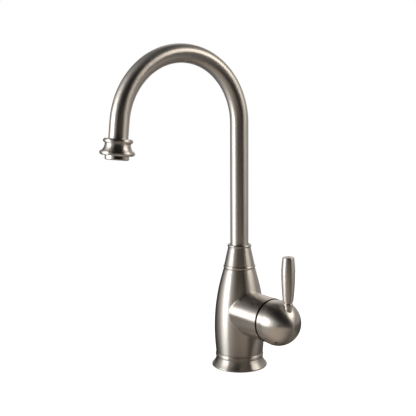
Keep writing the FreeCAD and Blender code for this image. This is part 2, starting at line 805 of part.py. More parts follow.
def make_cartridge_stem():
    """Disc carrier, round spindle with a groove for its ring, and a square end for the knob."""
    groove = size("spindle_ring_section")
    groove_floor = size("spindle_radius") - groove * 2
    middle = spindle_ring_height()
    body = turned("cartridge_stem", (0, carrier_bottom()), [
        (size("disc_radius") - size("disc_gap"), carrier_bottom()),
        (size("disc_radius") - size("disc_gap"), carrier_top()),
        (size("spindle_radius"), carrier_top()),
        (size("spindle_radius"), middle - groove),
        (groove_floor, middle - groove),
        (groove_floor, middle + groove),
        (size("spindle_radius"), middle + groove),
        (size("spindle_radius"), spindle_shoulder()),
        (0, spindle_shoulder()),
        (0, carrier_bottom()),
    ])
    return on_hub_axis(square_bar(body, "square_end", spindle_shoulder(), size("spindle_reach")))


def square_bar(body, name, start, length):
    """Add a square bar along the piece's axis, with one flat facing the set screw."""
    half = size("spindle_square") / 2
    sketch = new_sketch(body, f"{name}_sketch", "XY_Plane")
    turn = FreeCAD.Rotation(Z_AXIS, size("screw_angle").value)
    sketch.AttachmentOffset = FreeCAD.Placement(FreeCAD.Vector(), turn)
    sketch.setExpression("AttachmentOffset.Rotation.Angle", f"{size('screw_angle').text} * 1 deg")
    sketch.setExpression("AttachmentOffset.Base.z", start.text)
    draw_outline(sketch, (-half, -half), [(half, -half), (half, half), (-half, half), (-half, -half)])
    bar = body.newObject("PartDesign::Pad", name)
    bar.Profile = sketch
    bar.setExpression("Length", length.text)
    document.recompute()
    return body


def make_stem_ring():
    """Sealing ring in the groove of the cartridge stem."""
    section = size("spindle_ring_section")
    return on_hub_axis(ring_of_round_section("stem_seal", size("spindle_radius") - section,
                                             spindle_ring_height(), section))


def lever_seat():
    """Height of the lever's shoulder, just under the surface of the ball."""
    aside = size("lever_reach") + size("lever_neck_radius")
    return (size("hub_height") + root(size("ball_radius") * size("ball_radius") - aside * aside)
            - size("lever_seat_depth"))


def make_knob():
    """Ball-shaped handle: a skirt that meets the hub, and a ball bored for stem, lever and screw."""
    skirt_end = size("hub_length") + size("handle_gap")
    step = skirt_end + size("skirt_length")
    offset = step - ball_offset()
    ball_at_step = root(size("ball_radius") * size("ball_radius") - offset * offset)
    cavity = size("skirt_radius") - size("skirt_wall")
    shell = on_hub_axis(turned("knob_turning", (cavity, skirt_end), [
        (size("skirt_radius") - size("edge_break"), skirt_end),
        (size("skirt_radius"), skirt_end + size("edge_break")),
        (size("skirt_radius"), step - size("edge_break")),
        (ball_at_step, step),
        (size("ball_radius"), ball_offset(), size("ball_radius"), -1),
        (0, ball_offset() + size("ball_radius"), size("ball_radius"), 1),
        (0, skirt_end + size("cavity_depth")),
        (cavity, skirt_end + size("cavity_depth")),
        (cavity, skirt_end),
    ]))
    broach = on_hub_axis(square_bar(document.addObject("PartDesign::Body", "stem_broach"), "broach",
                                    spindle_shoulder(), size("spindle_reach")))
    lever_hole = drill("lever_hole", size("lever_thread_radius"), size("lever_thread_length"),
                       x=lever_offset(), z=lever_seat() - size("lever_thread_length"))
    spot_face = drill("lever_spot_face", size("lever_neck_radius"), size("ball_radius"),
                      x=lever_offset(), z=lever_seat())
    screw_hole = drill("screw_hole", size("screw_radius"), size("ball_radius"), x=screw_offset(),
                       z=size("hub_height"), turn_axis=X_AXIS, turn=size("screw_angle"))
    return without("knob", shell, [broach, lever_hole, spot_face, screw_hole])


def make_lever():
    """Turned lever: a threaded end, a thin neck, a ring and a long swelling grip."""
    seat = lever_seat()
    ring = seat + size("lever_ring_rise")
    half_ring = size("lever_ring_height") / 2
    ring_edge = size("lever_ring_radius") - size("lever_ring_edge")
    grip = seat + size("lever_grip_rise")
    top = seat + size("lever_length")
    neck = size("lever_neck_radius")
    lever = turned("lever", (0, seat - size("lever_thread_length")), [
        (size("lever_thread_radius"), seat - size("lever_thread_length")),
        (size("lever_thread_radius"), seat),
        (neck, seat),
        (neck, ring - half_ring),
        (ring_edge, ring - half_ring),
        (size("lever_ring_radius"), ring, size("lever_ring_height"), 1),
        (ring_edge, ring + half_ring, size("lever_ring_height"), 1),
        (neck, ring + half_ring),
        (neck, grip),
        (size("lever_grip_foot") - size("lever_grip_edge"), grip),
        (size("lever_grip_foot"), grip + size("lever_grip_edge")),
        (size("lever_grip_radius"), seat + size("lever_grip_widest"), size("lever_lower_arc"), 1),
        (size("lever_grip_top"), top - size("lever_top_edge"), size("lever_upper_arc"), 1),
        (size("lever_grip_top") - size("lever_top_edge"), top),
        (0, top),
        (0, seat - size("lever_thread_length")),
    ])
    return place(lever, x=lever_offset())


def make_set_screw():
    """Headless screw that holds the knob on the stem, with a round-bottomed key socket."""
    start = size("spindle_square") / 2
    end = start + size("screw_length")
    screw = turned("set_screw", (0, start), [
        (size("screw_radius") - size("edge_break"), start),
        (size("screw_radius"), start + size("edge_break")),
        (size("screw_radius"), end),
        (size("screw_socket"), end),
        (size("screw_socket"), end - size("screw_socket_depth")),
        (0, end - size("screw_socket_depth")),
        (0, start),
    ])
    return place(screw, x=screw_offset(), z=size("hub_height"), turn_axis=X_AXIS, turn=size("screw_angle"))


# Pieces that turn with the spout


def stem_radius():
    """Radius of the spout stem, a running fit in its socket."""
    return size("socket_radius") - size("running_gap")


def make_spout_tube():
    """Seamless tube bent into a gooseneck."""
    body = document.addObject("PartDesign::Body", "spout_tube")
    route = new_sketch(body, "tube_route", "YZ_Plane")
    angle = size("bend_angle")
    radius = size("bend_radius")
    bend_end = (-(radius * (as_size(1) - cosine(angle))), size("bend_height") + radius * sine(angle))
    run = size("outlet_run")
    outlet = (bend_end[0] - run * sine(angle), bend_end[1] + run * cosine(angle))
    crown = (-radius, size("bend_height") + radius)
    draw_outline(route, (0, stem_shoulder()), [
        (0, size("bend_height")),
        (crown[0], crown[1], radius, 1),
        (bend_end[0], bend_end[1], radius, 1),
        outlet,
    ], closed=False)
    section = new_sketch(body, "tube_section", "XY_Plane")
    section.setExpression("AttachmentOffset.Base.z", stem_shoulder().text)
    draw_circle(section, 0, 0, size("tube_radius"))
    draw_circle(section, 0, 0, size("tube_radius") - size("tube_wall"))
    pipe = body.newObject("PartDesign::AdditivePipe", "tube_sweep")
    pipe.Profile = section
    pipe.Spine = (route, [f"Edge{number}" for number in range(1, 5)])
    document.recompute()
    return body


def oring_heights():
    first = socket_floor() + size("oring_first")
    return first, first + size("oring_pitch")


def make_spout_stem():
    """Brass stem brazed into the tube, grooved for two sealing rings."""
    section = size("oring_section")
    groove_floor = stem_radius() - section * 2
    bottom = socket_floor() + size("end_room")
    steps = [
        (stem_radius() - size("edge_break"), bottom),
        (stem_radius(), bottom + size("edge_break")),
    ]
    for height in oring_heights():
        steps += [
            (stem_radius(), height - section),
            (groove_floor, height - section),
            (groove_floor, height + section),
            (stem_radius(), height + section),
        ]
    inner_tube = size("tube_radius") - size("tube_wall")
    top = stem_shoulder() + size("stem_spigot_length")
    steps += [
        (stem_radius(), stem_shoulder()),
        (inner_tube, stem_shoulder()),
        (inner_tube, top - size("edge_break")),
        (inner_tube - size("edge_break"), top),
        (size("stem_bore"), top),
        (size("stem_bore"), bottom),
    ]
    return turned("spout_stem", (size("stem_bore"), bottom), steps)


def make_spout_seals():
    """The two sealing rings of the spout stem, one above the other."""
    section = size("oring_section")
    return [
        ring_of_round_section(name, stem_radius() - section, height, section)
        for name, height in zip(("lower_spout_seal", "upper_spout_seal"), oring_heights())
    ]


def make_thrust_ring():
    """Plastic washer between the stem's shoulder and the bonnet."""
    return tube_ring("thrust_ring", size("tube_radius") + size("disc_gap"),
                     size("bonnet_bore") - size("running_gap") * 2, stem_shoulder(),
                     stem_shoulder() + size("thrust_height"))


def make_outlet_collar():
    """Turned collar brazed round the end of the tube, with two beaded flanges and a hollow waist."""
    upper_bead, lower_bead = size("collar_upper_bead"), size("collar_lower_bead")
    upper, lower = size("collar_upper_centre"), size("collar_lower_centre")
    upper_edge = size("collar_upper_radius") - upper_bead
    lower_edge = size("collar_lower_radius") - lower_bead
    inner_tube = size("tube_radius") - size("tube_wall")
    chamber = chamber_top()
    foot = lower + lower_bead
    return on_outlet(turned("outlet_collar", (size("tube_radius"), size("collar_start")), [
        (upper_edge, upper - upper_bead),
        (size("collar_upper_radius"), upper, upper_bead, 1),
        (upper_edge + upper_bead * cosine(size("collar_upper_wrap")),
         upper + upper_bead * sine(size("collar_upper_wrap")), upper_bead, 1),
        (size("collar_waist_radius"), size("collar_waist_start")),
        (lower_edge + lower_bead * cosine(size("collar_lower_wrap")),
         lower - lower_bead * sine(size("collar_lower_wrap")), size("collar_flare_arc"), -1),
        (size("collar_lower_radius"), lower, lower_bead, 1),
        (lower_edge, foot, lower_bead, 1),
        (size("collar_foot_radius"), foot),
        (size("collar_foot_radius"), foot - size("collar_foot_gap")),
        (size("aerator_thread_radius"), foot - size("collar_foot_gap")),
        (size("aerator_thread_radius"), chamber),
        (inner_tube, chamber),
        (inner_tube, size("outlet_run")),
        (size("tube_radius"), size("outlet_run")),
        (size("tube_radius"), size("collar_start")),
    ]))


def chamber_top():
    """Ceiling of the collar's thread chamber, measured along the outlet."""
    return size("outlet_run") + size("tube_ledge")


def collar_foot():
    """Face of the collar on which the aerator's ring stops."""
    return size("collar_lower_centre") + size("collar_lower_bead") - size("collar_foot_gap")


def aerator_end():
    return collar_foot() + size("aerator_ring_height")


def make_aerator_washer():
    """Rubber washer between the collar and the aerator."""
    return on_outlet(tube_ring("aerator_washer", size("tube_radius") - size("tube_wall"),
                               size("aerator_thread_radius"), chamber_top(), washer_bottom()))


def washer_bottom():
    return chamber_top() + size("washer_height")


def make_aerator_housing():
    """Screw-in ring that holds the aerator's inner parts."""
    end = aerator_end()
    return on_outlet(turned("aerator_housing", (size("aerator_bore"), washer_bottom()), [
        (size("aerator_thread_radius"), washer_bottom()),
        (size("aerator_thread_radius"), collar_foot()),
        (size("aerator_radius"), collar_foot()),
        (size("aerator_radius"), end - size("aerator_edge")),
        (size("aerator_radius") - size("aerator_edge"), end),
        (size("aerator_lip_radius"), end),
        (size("aerator_lip_radius"), end - size("aerator_lip")),
        (size("aerator_bore"), end - size("aerator_lip")),
        (size("aerator_bore"), washer_bottom()),
    ]))


def make_aerator_insert():
    """Flow insert under the washer, with a ring of jets round a raised middle."""
    top = washer_bottom()
    bottom = top + size("insert_height")
    body = tube_free_disc("aerator_insert", size("aerator_bore"), top, bottom)
    jet = pocket(body, "jet", lambda sketch: draw_circle(sketch, 0, size("insert_circle"), size("insert_hole")),
                 top, size("insert_height"))
    repeat_round(body, jet, INSERT_HOLES)
    return on_outlet(body)


def make_aerator_screen():
    """Perforated disc that smooths the stream, resting on the housing's lip."""
    end = aerator_end() - size("aerator_lip")
    start = end - size("screen_height")
    body = tube_free_disc("aerator_screen", size("aerator_bore"), start, end)
    pocket(body, "middle_hole", lambda sketch: draw_circle(sketch, 0, 0, size("screen_hole")), start,
           size("screen_height"))
    for number, (circle, count) in enumerate(SCREEN_RINGS, start=1):
        hole = pocket(body, f"screen_hole_{number}",
                      lambda sketch: draw_circle(sketch, 0, circle, size("screen_hole")), start,
                      size("screen_height"))
        repeat_round(body, hole, count)
    return on_outlet(body)


def make_all():
    """Build every piece of the faucet and return them in order."""
    return [
        make_body(), make_base_ring(), make_base_gasket(), make_neck_ring(), make_spout_bonnet(),
        make_slip_ring(), make_guide_bush(), make_cartridge_base(), make_cartridge_seals(),
        make_fixed_disc(), make_cartridge_housing(), make_cartridge_nut(), make_moving_disc(),
        make_cartridge_stem(), make_stem_ring(), make_knob(), make_lever(), make_set_screw(),
        make_spout_tube(), make_spout_stem(), *make_spout_seals(), make_thrust_ring(),
        make_outlet_collar(), make_aerator_washer(), make_aerator_housing(), make_aerator_insert(),
        make_aerator_screen(),
    ]


def check(pieces):
    """Stop if any object failed to build, or any piece has no valid shape."""
    failed = [item.Name for item in document.Objects if {"Invalid", "Error"} & set(item.State)]
    if failed:
        raise RuntimeError(f"objects failed: {failed}")
    for piece in pieces:
        if piece.Shape.isNull() or not piece.Shape.isValid():
            raise RuntimeError(f"{piece.Name} has no valid shape")


def export(pieces):
    """Write one file for each piece."""
    os.makedirs("parts", exist_ok=True)
    for piece in pieces:
        piece.Shape.exportStep(f"parts/{piece.Label}.step")
        print(piece.Label, len(piece.Shape.Solids), round(piece.Shape.Volume, 1))


fill_sheet()
pieces = make_all()
document.recompute()
check(pieces)
export(pieces)
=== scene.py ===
"""Looks of a gooseneck bar faucet, built round its fixed CAD frame.

The frame gives every node at its place, in metres, with +Z up, the spout pointing to -Y and the
handle along +X. Turned pieces that show are made again here as fine meshes with rounded edges and
a map along their outline, the casting and the knob keep their CAD meshes, and everything gets a
procedural finish. The faucet's own pieces are measured in millimetres, the studio in metres.
"""
from __future__ import annotations

import json
import logging
import math
from abc import ABC, abstractmethod
from dataclasses import dataclass, replace
from enum import Enum
from typing import Any, Sequence

import bpy
from mathutils import Matrix, Quaternion, Vector

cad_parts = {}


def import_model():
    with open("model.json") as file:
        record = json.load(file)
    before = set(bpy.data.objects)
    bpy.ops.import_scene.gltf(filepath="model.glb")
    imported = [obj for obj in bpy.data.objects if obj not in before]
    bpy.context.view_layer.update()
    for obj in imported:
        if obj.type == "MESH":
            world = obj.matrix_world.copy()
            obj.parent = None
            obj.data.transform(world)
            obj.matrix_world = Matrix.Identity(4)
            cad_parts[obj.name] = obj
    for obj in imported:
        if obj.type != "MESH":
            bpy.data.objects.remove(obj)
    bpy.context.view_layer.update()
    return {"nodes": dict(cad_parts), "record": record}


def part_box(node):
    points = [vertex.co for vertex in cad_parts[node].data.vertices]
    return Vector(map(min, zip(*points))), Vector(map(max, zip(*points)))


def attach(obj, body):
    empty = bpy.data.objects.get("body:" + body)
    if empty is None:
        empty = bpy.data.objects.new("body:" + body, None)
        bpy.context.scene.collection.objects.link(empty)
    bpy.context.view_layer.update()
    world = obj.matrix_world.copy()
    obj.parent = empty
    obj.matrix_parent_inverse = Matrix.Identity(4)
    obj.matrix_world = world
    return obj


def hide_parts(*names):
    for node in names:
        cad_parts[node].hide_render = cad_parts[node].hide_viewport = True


LOG = logging.getLogger("bar_faucet")
MM = 0.001
MAP_NAME = "grain"
EDGE_NAME = "edge"

# Outlines: most of a side that a rounded corner takes, the places of the points on that corner, the
# widest angle between two points of an arc, the distance of a support point from its corner, and
# how close two points or a ring's points are to count as one. Lengths are in millimetres, but the
# last one is in metres.
CORNER_SHARE = 0.45
CORNER_STEPS = (0.2, 0.4, 0.6, 0.8)
ARC_TURN = math.radians(7)
SUPPORT_GAP = 0.06
SAME_POINT = 1e-6
POLE_WIDTH = 1e-7

# Rounding of a corner, in millimetres along each of its sides.
SMOOTH = 0.0
CRISP = 0.1
FINE = 0.12
SMALL = 0.15
BROKEN = 0.2
EASED = 0.25
SOFT = 0.3
ROUND = 0.35

Point = tuple[float, float]
Colour = tuple[float, float, float]


# ---------------------------------------------------------------- outlines and meshes


class Turn(Enum):
    """The way in which an arc bends."""

    LEFT = 1
    RIGHT = -1


class Outline:
    """A turned piece's outline of (radius, height) points in millimetres."""

    def __init__(self, start: Point, soft: float = BROKEN, step: float = 0.8) -> None:
        """Start an outline.

        Args:
            start: First point.
            soft: Rounding of a corner, measured along each side, where none is given for it.
            step: Longest distance between two points of the finished outline.
        """
        self.here = start
        self.soft = soft
        self.step = step
        self.runs: list[list[Point]] = []
        self.softness: list[float] = []

    def lines(self, *corners: tuple[float, ...]) -> None:
        """Go straight from corner to corner.

        Args:
            *corners: Radius and height of each corner, and its rounding if it has its own.
        """
        for radius, height, *soft in corners:
            self._add([self.here, (radius, height)], *soft)

    def arc(self, radius: float, height: float, bend: float, soft: float = SMOOTH,
            turn: Turn = Turn.LEFT) -> None:
        """Go to a point on an arc.

        Args:
            radius: Distance of the point from the axis.
            height: Its place along the axis.
            bend: Radius of the arc.
            soft: Rounding of the corner at that point.
            turn: The way in which the arc bends.
        """
        side = turn.value
        first, last = Vector(self.here), Vector((radius, height))
        chord = last - first
        rise = math.sqrt(max(bend * bend - chord.length_squared / 4, 0.0))
        centre = (first + last) / 2 + side * rise * Vector((-chord.y, chord.x)) / chord.length
        begin = math.atan2(first.y - centre.y, first.x - centre.x)
        sweep = side * 2 * math.asin(min(chord.length / 2 / bend, 1.0))
        size = abs(sweep)
        count = max(2, math.ceil(size / ARC_TURN), math.ceil(size * bend / self.step))
        angles = [begin + sweep * number / count for number in range(count + 1)]
        self._add([(centre.x + bend * math.cos(angle), centre.y + bend * math.sin(angle))
                   for angle in angles], soft)

    def _add(self, points: list[Point], soft: float | None = None) -> None:
        """Add a run to the outline.

        Args:
            points: Its points.
            soft: Rounding of its last corner.
        """
        self.runs.append(points)
        self.softness.append(self.soft if soft is None else soft)
        self.here = points[-1]

    def points(self, closed: bool) -> list[tuple[float, float, float]]:
        """Work out the finished outline.

        Args:
            closed: Whether the last point is the first one again.

        Returns:
            Points of (radius, height, edge), where edge is 1 on a rounded corner and 0 elsewhere.
        """
        count = len(self.runs)
        head, tail = [0.0] * count, [0.0] * count
        for number in range(count if closed else count - 1):
            following = (number + 1) % count
            shorter = min(_length(self.runs[number]), _length(self.runs[following]))
            tail[number] = head[following] = min(self.softness[number], CORNER_SHARE * shorter)
        finished: list[tuple[float, float, float]] = []
        for number, run in enumerate(self.runs):
            body = _trimmed(run, head[number], tail[number])
            finished += [(*point, 0.0) for point in _spread(body, self.step)]
            if tail[number] > 0.0:
                following = (number + 1) % count
                corner, behind = Vector(run[-1]), Vector(body[-1])
                ahead = Vector(_trimmed(self.runs[following], head[following], 0.0)[0])
                for share in CORNER_STEPS:
                    bent = (behind * (1 - share) ** 2 + corner * 2 * share * (1 - share)
                            + ahead * share ** 2)
                    finished.append((bent.x, bent.y, 1.0))
        return finished


def _length(run: Sequence[Point]) -> float:
    """Return the length of a run of points."""
    return sum(math.dist(first, last) for first, last in zip(run, run[1:]))


def _between(first: Point, last: Point, share: float) -> Point:
    """Return the point at a share of the way between two others."""
    return tuple(a + (b - a) * share for a, b in zip(first, last))


def _trimmed(run: Sequence[Point], head: float, tail: float) -> list[Point]:
    """Cut a length off each end of a run.

    Args:
        run: The points.
        head: Length that goes at the start.
        tail: Length that goes at the end.

    Returns:
        The shorter run.
    """
    points = list(run)
    for amount in (head, tail):
        while len(points) > 1 and amount > 0.0:
            part = math.dist(points[0], points[1])
            if part > amount:
                points[0] = _between(points[0], points[1], amount / part)
                break
            amount -= part
            points.pop(0)
        points.reverse()
    return points


def _spread(run: Sequence[Point], step: float) -> list[Point]:
    """Divide a run, with a support point close to each end.

    Args:
        run: The points.
        step: Longest distance between two points.

    Returns:
        The run with its added points.
    """
    points: list[Point] = []
    for number, (first, last) in enumerate(zip(run, run[1:])):
        part = math.dist(first, last)
        count = max(1, math.ceil(part / step))
        shares = [index / count for index in range(count)]
        if part > 3 * SUPPORT_GAP:
            shares += [SUPPORT_GAP / part] if number == 0 else []
            shares += [1 - SUPPORT_GAP / part] if number == len(run) - 2 else []
        points += [_between(first, last, share) for share in sorted(shares)]
    return points + [tuple(run[-1])]


def circle(count: int) -> list[Point]:
    """Return points evenly round a circle of radius 1."""
    angles = [2 * math.pi * number / count for number in range(count)]
    return [(math.cos(angle), math.sin(angle)) for angle in angles]


def linked(name: str, data: bpy.types.ID) -> bpy.types.Object:
    """Make an object and link it to the scene.

    Args:
        name: Its name.
        data: Its mesh, lamp or camera.

    Returns:
        The object.
    """
    made = bpy.data.objects.new(name, data)
    bpy.context.scene.collection.objects.link(made)
    return made


@dataclass
class Skin:
    """A quad mesh through rings of points, with a map of (around, along) and an edge mask.

    Attributes:
        name: Name of the piece.
        rings: Rings of points in metres, each with the same count.
        along: Distance of each ring along the piece, in metres.
        edge: Edge mask of each ring.
        closed: Whether the last ring joins the first one.
    """

    name: str
    rings: list[list[Vector]]
    along: list[float]
    edge: list[float]
    closed: bool = True

    def build(self) -> bpy.types.Object:
        """Make the object and link it.

        Returns:
            The new object, smooth shaded, with its map and mask.
        """
        sides = len(self.rings[0])
        verts, keys, amounts = [], [], []
        for ring, amount in zip(self.rings, self.edge):
            pole = max((point - ring[0]).length for point in ring) < POLE_WIDTH
            first = len(verts)
            verts += ring[:1] if pole else ring
            keys.append([first] * sides if pole else list(range(first, len(verts))))
            amounts += [amount] * (len(verts) - first)
        mesh = bpy.data.meshes.new(self.name)
        faces, maps = self._faces(keys)
        mesh.from_pydata([tuple(vert) for vert in verts], [], faces)
        layer = mesh.uv_layers.new(name=MAP_NAME)
        layer.data.foreach_set("uv", [value for pair in maps for value in pair])
        mesh.attributes.new(EDGE_NAME, "FLOAT", "POINT").data.foreach_set("value", amounts)
        mesh.shade_smooth()
        mesh.validate()
        return linked(self.name, mesh)

    def _faces(self, keys: list[list[int]]) -> tuple[list[list[int]], list[Point]]:
        """Span the rings.

        Args:
            keys: Vertex of each point of each ring.

        Returns:
            The faces, and the map's place for each of their corners.
        """
        sides = len(keys[0])
        closing = self.along[-1] + (self.rings[-1][0] - self.rings[0][0]).length
        faces, maps = [], []
        for low in range(len(keys) - (0 if self.closed else 1)):
            high = (low + 1) % len(keys)
            foot, top = self.along[low], self.along[high] if high else closing
            for side in range(sides):
                turn = (side + 1) % sides
                corners = {}
                for key, place in ((keys[low][side], (side, foot)),
                                   (keys[low][turn], (side + 1, foot)),
                                   (keys[high][turn], (side + 1, top)),
                                   (keys[high][side], (side, top))):
                    corners.setdefault(key, place)
                faces.append(list(corners))
                maps += [(around / sides, along) for around, along in corners.values()]
        return faces, maps


def turned(name: str, outline: Outline, place: Matrix = Matrix.Identity(4), closed: bool = True,
           sides: int = 128) -> bpy.types.Object:
    """Turn an outline about an axis.

    Args:
        name: Name of the piece.
        outline: Its outline, in millimetres.
        place: Where the axis and its origin go, in metres.
        closed: Whether the outline comes back to its start.
        sides: Points in each ring.

    Returns:
        The new object.
    """
    points = outline.points(closed)
    if closed and math.dist(points[0][:2], points[-1][:2]) < SAME_POINT:
        points.pop()
    rings, along, travelled, before = [], [], 0.0, points[0]
    for radius, height, _ in points:
        travelled += math.dist(before[:2], (radius, height))
        before = (radius, height)
        along.append(travelled * MM)
        rings.append([place @ (Vector((radius * aside, radius * ahead, height)) * MM)
                      for aside, ahead in circle(sides)])
    return Skin(name, rings, along, [point[2] for point in points], closed).build()


# ---------------------------------------------------------------- shader nodes


@dataclass
class Nodes:
    """A short way to write a node tree.

    Attributes:
        tree: The tree that the nodes go into.
    """

    tree: bpy.types.NodeTree

    def add(self, kind: str, given: dict[str | int, Any] | None = None,
            **settings: Any) -> bpy.types.Node:
        """Add a node.

        Args:
            kind: Its type, without the words ShaderNode.
            given: Outputs to link to its inputs and constants to set on them, by name or number.
            **settings: Properties to set on it.

        Returns:
            The node.
        """
        node = self.tree.nodes.new(kind if kind.startswith("NodeGroup") else f"ShaderNode{kind}")
        for name, value in settings.items():
            setattr(node, name, value)
        self.feed(node, given or {})
        return node

    def feed(self, node: bpy.types.Node, given: dict[str | int, Any]) -> None:
        """Link outputs to a node's inputs, or set constants on them.

        Args:
            node: The node.
            given: Its inputs by name or number.
        """
        for key, value in given.items():
            socket = node.inputs[key]
            if isinstance(value, bpy.types.NodeSocket):
                self.tree.links.new(value, socket)
            else:
                socket.default_value = (*value, 1.0) if socket.type == "RGBA" else value

    def math(self, operation: str, *values: Any, clamp: bool = False) -> bpy.types.NodeSocket:
        """Add a Math node and return its output; clamp keeps it between 0 and 1."""
        given = dict(enumerate(values))
        return self.add("Math", given, operation=operation, use_clamp=clamp).outputs[0]

    def distance(self, first: Any, second: Any) -> bpy.types.NodeSocket:
        """Return the distance from an axis of a point with these two sides."""
        squares = [self.math("MULTIPLY", side, side) for side in (first, second)]
        return self.math("SQRT", self.math("ADD", *squares))

    def remap(self, value: Any, low: float, high: float, to_low: float = 0.0,
              to_high: float = 1.0, smooth: bool = False) -> bpy.types.NodeSocket:
        """Map a value from one range to another.

        Args:
            value: The value.
            low: Start of its range.
            high: End of its range.
            to_low: What the start becomes.
            to_high: What the end becomes.
            smooth: Whether it eases in and out.

        Returns:
            The result, which stays in the new range.
        """
        given = dict(enumerate((value, low, high, to_low, to_high)))
        kind = "SMOOTHSTEP" if smooth else "LINEAR"
        return self.add("MapRange", given, interpolation_type=kind).outputs[0]

    def blend(self, factor: Any, first: Any, second: Any) -> bpy.types.NodeSocket:
        """Mix two colours and return the result."""
        return self.add("Mix", {0: factor, 6: first, 7: second}, data_type="RGBA").outputs[2]

    def vector(self, *parts: Any) -> bpy.types.NodeSocket:
        """Join three values into a vector."""
        return self.add("CombineXYZ", dict(enumerate(parts))).outputs[0]

    def parts(self, vector: bpy.types.NodeSocket) -> tuple[bpy.types.NodeSocket, ...]:
        """Split a vector into its three values."""
        return tuple(self.add("SeparateXYZ", {0: vector}).outputs)

    def place(self) -> bpy.types.NodeSocket:
        """Return the place in the piece's own space."""
        return self.add("TexCoord").outputs["Object"]

    def noise(self, place: Any, scale: Any, detail: float) -> bpy.types.NodeSocket:
        """Add a Noise Texture node and return its value."""
        given = {"Vector": place, "Scale": scale, "Detail": detail}
        return self.add("TexNoise", given, noise_dimensions="3D").outputs["Fac"]

    def bump(self, height: Any, depth: float, normal: Any = None) -> bpy.types.NodeSocket:
        """Add a Bump node of full strength, over a normal if there is one, and return its own."""
        given = {"Height": height, "Strength": 1.0, "Distance": depth}
        return self.add("Bump", {**given, "Normal": normal} if normal else given).outputs[0]

    def use(self, group: bpy.types.NodeTree, given: dict[str, Any]) -> bpy.types.NodeOutputs:
        """Place a node group and return its outputs."""
        return self.add("Group", given, node_tree=group).outputs

    @staticmethod
    def emptied(owner: bpy.types.Material | bpy.types.World) -> "Nodes":
        """Clear the node tree of a material or a world.

        Args:
            owner: The material or the world.

        Returns:
            The empty tree.
        """
        owner.use_nodes = True
        owner.node_tree.nodes.clear()
        return Nodes(owner.node_tree)


class Effect(ABC):
    """A shader effect that several finishes share, built once as a node group."""

    name: str
    inputs: dict[str, tuple[str, Any]]
    outputs: dict[str, str]

    def group(self) -> bpy.types.NodeTree:
        """Return the group, made at its first use."""
        return bpy.data.node_groups.get(self.name) or self._make()

    def _make(self) -> bpy.types.NodeTree:
        """Make the group with its named sockets.

        Returns:
            The group.
        """
        tree = bpy.data.node_groups.new(self.name, "ShaderNodeTree")
        for name, (kind, default) in self.inputs.items():
            kind = f"NodeSocket{kind}"
            socket = tree.interface.new_socket(name, in_out="INPUT", socket_type=kind)
            if default is not None:
                socket.default_value = default
        for name, kind in self.outputs.items():
            tree.interface.new_socket(name, in_out="OUTPUT", socket_type=f"NodeSocket{kind}")
        nodes = Nodes(tree)
        entry = nodes.add("NodeGroupInput")
        given = {name: entry.outputs[name] for name in self.inputs}
        nodes.add("NodeGroupOutput", self.wire(nodes, given))
        return tree

    @abstractmethod
    def wire(self, nodes: Nodes, given: dict[str, bpy.types.NodeSocket]) -> dict[str, Any]:
        """Build the inside of the group.

        Args:
            nodes: The group's tree.
            given: Its inputs by name.

        Returns:
            Its outputs by name.
        """


class TurningLines(Effect):
    """Fine lines left round a piece by turning and brushing, and wider bands of them."""

    name = "turning lines"
    inputs = {"Around": ("Float", 0.0), "Along": ("Float", 0.0), "Pitch": ("Float", 0.0003),
              "Drift": ("Float", 1.5)}
    outputs = {"Lines": "Float", "Bands": "Float"}
    kinds = (("Lines", 1.0, 3.0), ("Bands", 0.11, 2.0))
    contrast = (0.25, 0.75)

    def wire(self, nodes: Nodes, given: dict[str, bpy.types.NodeSocket]) -> dict[str, Any]:
        """Noise that changes fast along the piece and slowly round it. See Effect.wire."""
        angle = nodes.math("MULTIPLY", given["Around"], 2 * math.pi)
        aside = [nodes.math("MULTIPLY", nodes.math(name, angle), given["Drift"])
                 for name in ("COSINE", "SINE")]
        row = nodes.math("DIVIDE", given["Along"], given["Pitch"])
        made = {}
        for name, density, detail in self.kinds:
            place = nodes.vector(nodes.math("MULTIPLY", row, density), *aside)
            made[name] = nodes.remap(nodes.noise(place, 1.0, detail), *self.contrast)
        return made


class Handling(Effect):
    """Soft, uneven film that wiping and handling leave."""

    name = "handling film"
    inputs = {"Place": ("Vector", None), "Size": ("Float", 0.02)}
    outputs = {"Film": "Float"}
    detail = 3.0
    contrast = (0.3, 0.7)

    def wire(self, nodes: Nodes, given: dict[str, bpy.types.NodeSocket]) -> dict[str, Any]:
        """Low noise in the piece's own space. See Effect.wire."""
        scale = nodes.math("DIVIDE", 1.0, given["Size"])
        noise = nodes.noise(given["Place"], scale, self.detail)
        return {"Film": nodes.remap(noise, *self.contrast, smooth=True)}


class Speckle(Effect):
    """Fine even grain of a moulded, cast or ground surface."""

    name = "speckle"
    inputs = {"Place": ("Vector", None), "Size": ("Float", 0.0004)}
    outputs = {"Speckle": "Float"}
    detail = 2.0

    def wire(self, nodes: Nodes, given: dict[str, bpy.types.NodeSocket]) -> dict[str, Any]:
        """Fine noise in the piece's own space. See Effect.wire."""
        scale = nodes.math("DIVIDE", 1.0, given["Size"])
        return {"Speckle": nodes.noise(given["Place"], scale, self.detail)}


# ---------------------------------------------------------------- grain directions


@dataclass
class GrainSockets:
    """Where a material finds its grain.

    Attributes:
        around: Share of a turn round the piece.
        along: Distance along the piece, in metres.
        tangent: Direction round the piece.
        edge: Mask of its rounded edges.
        painted_joint_shade: Mask of the painted shade, a dark band where it meets a moving piece.
        normal: Its normal, where corners are softened in the shading.
    """

    around: bpy.types.NodeSocket
    along: bpy.types.NodeSocket
    tangent: bpy.types.NodeSocket
    edge: Any = 0.0
    painted_joint_shade: Any = 0.0
    normal: Any = None


class Grain(ABC):
    """The way in which the turning lines run on a piece."""

    label: str

    @abstractmethod
    def sockets(self, nodes: Nodes) -> GrainSockets:
        """Add the nodes that find the grain.

        Args:
            nodes: The material's tree.

        Returns:
            The sockets to read.
        """


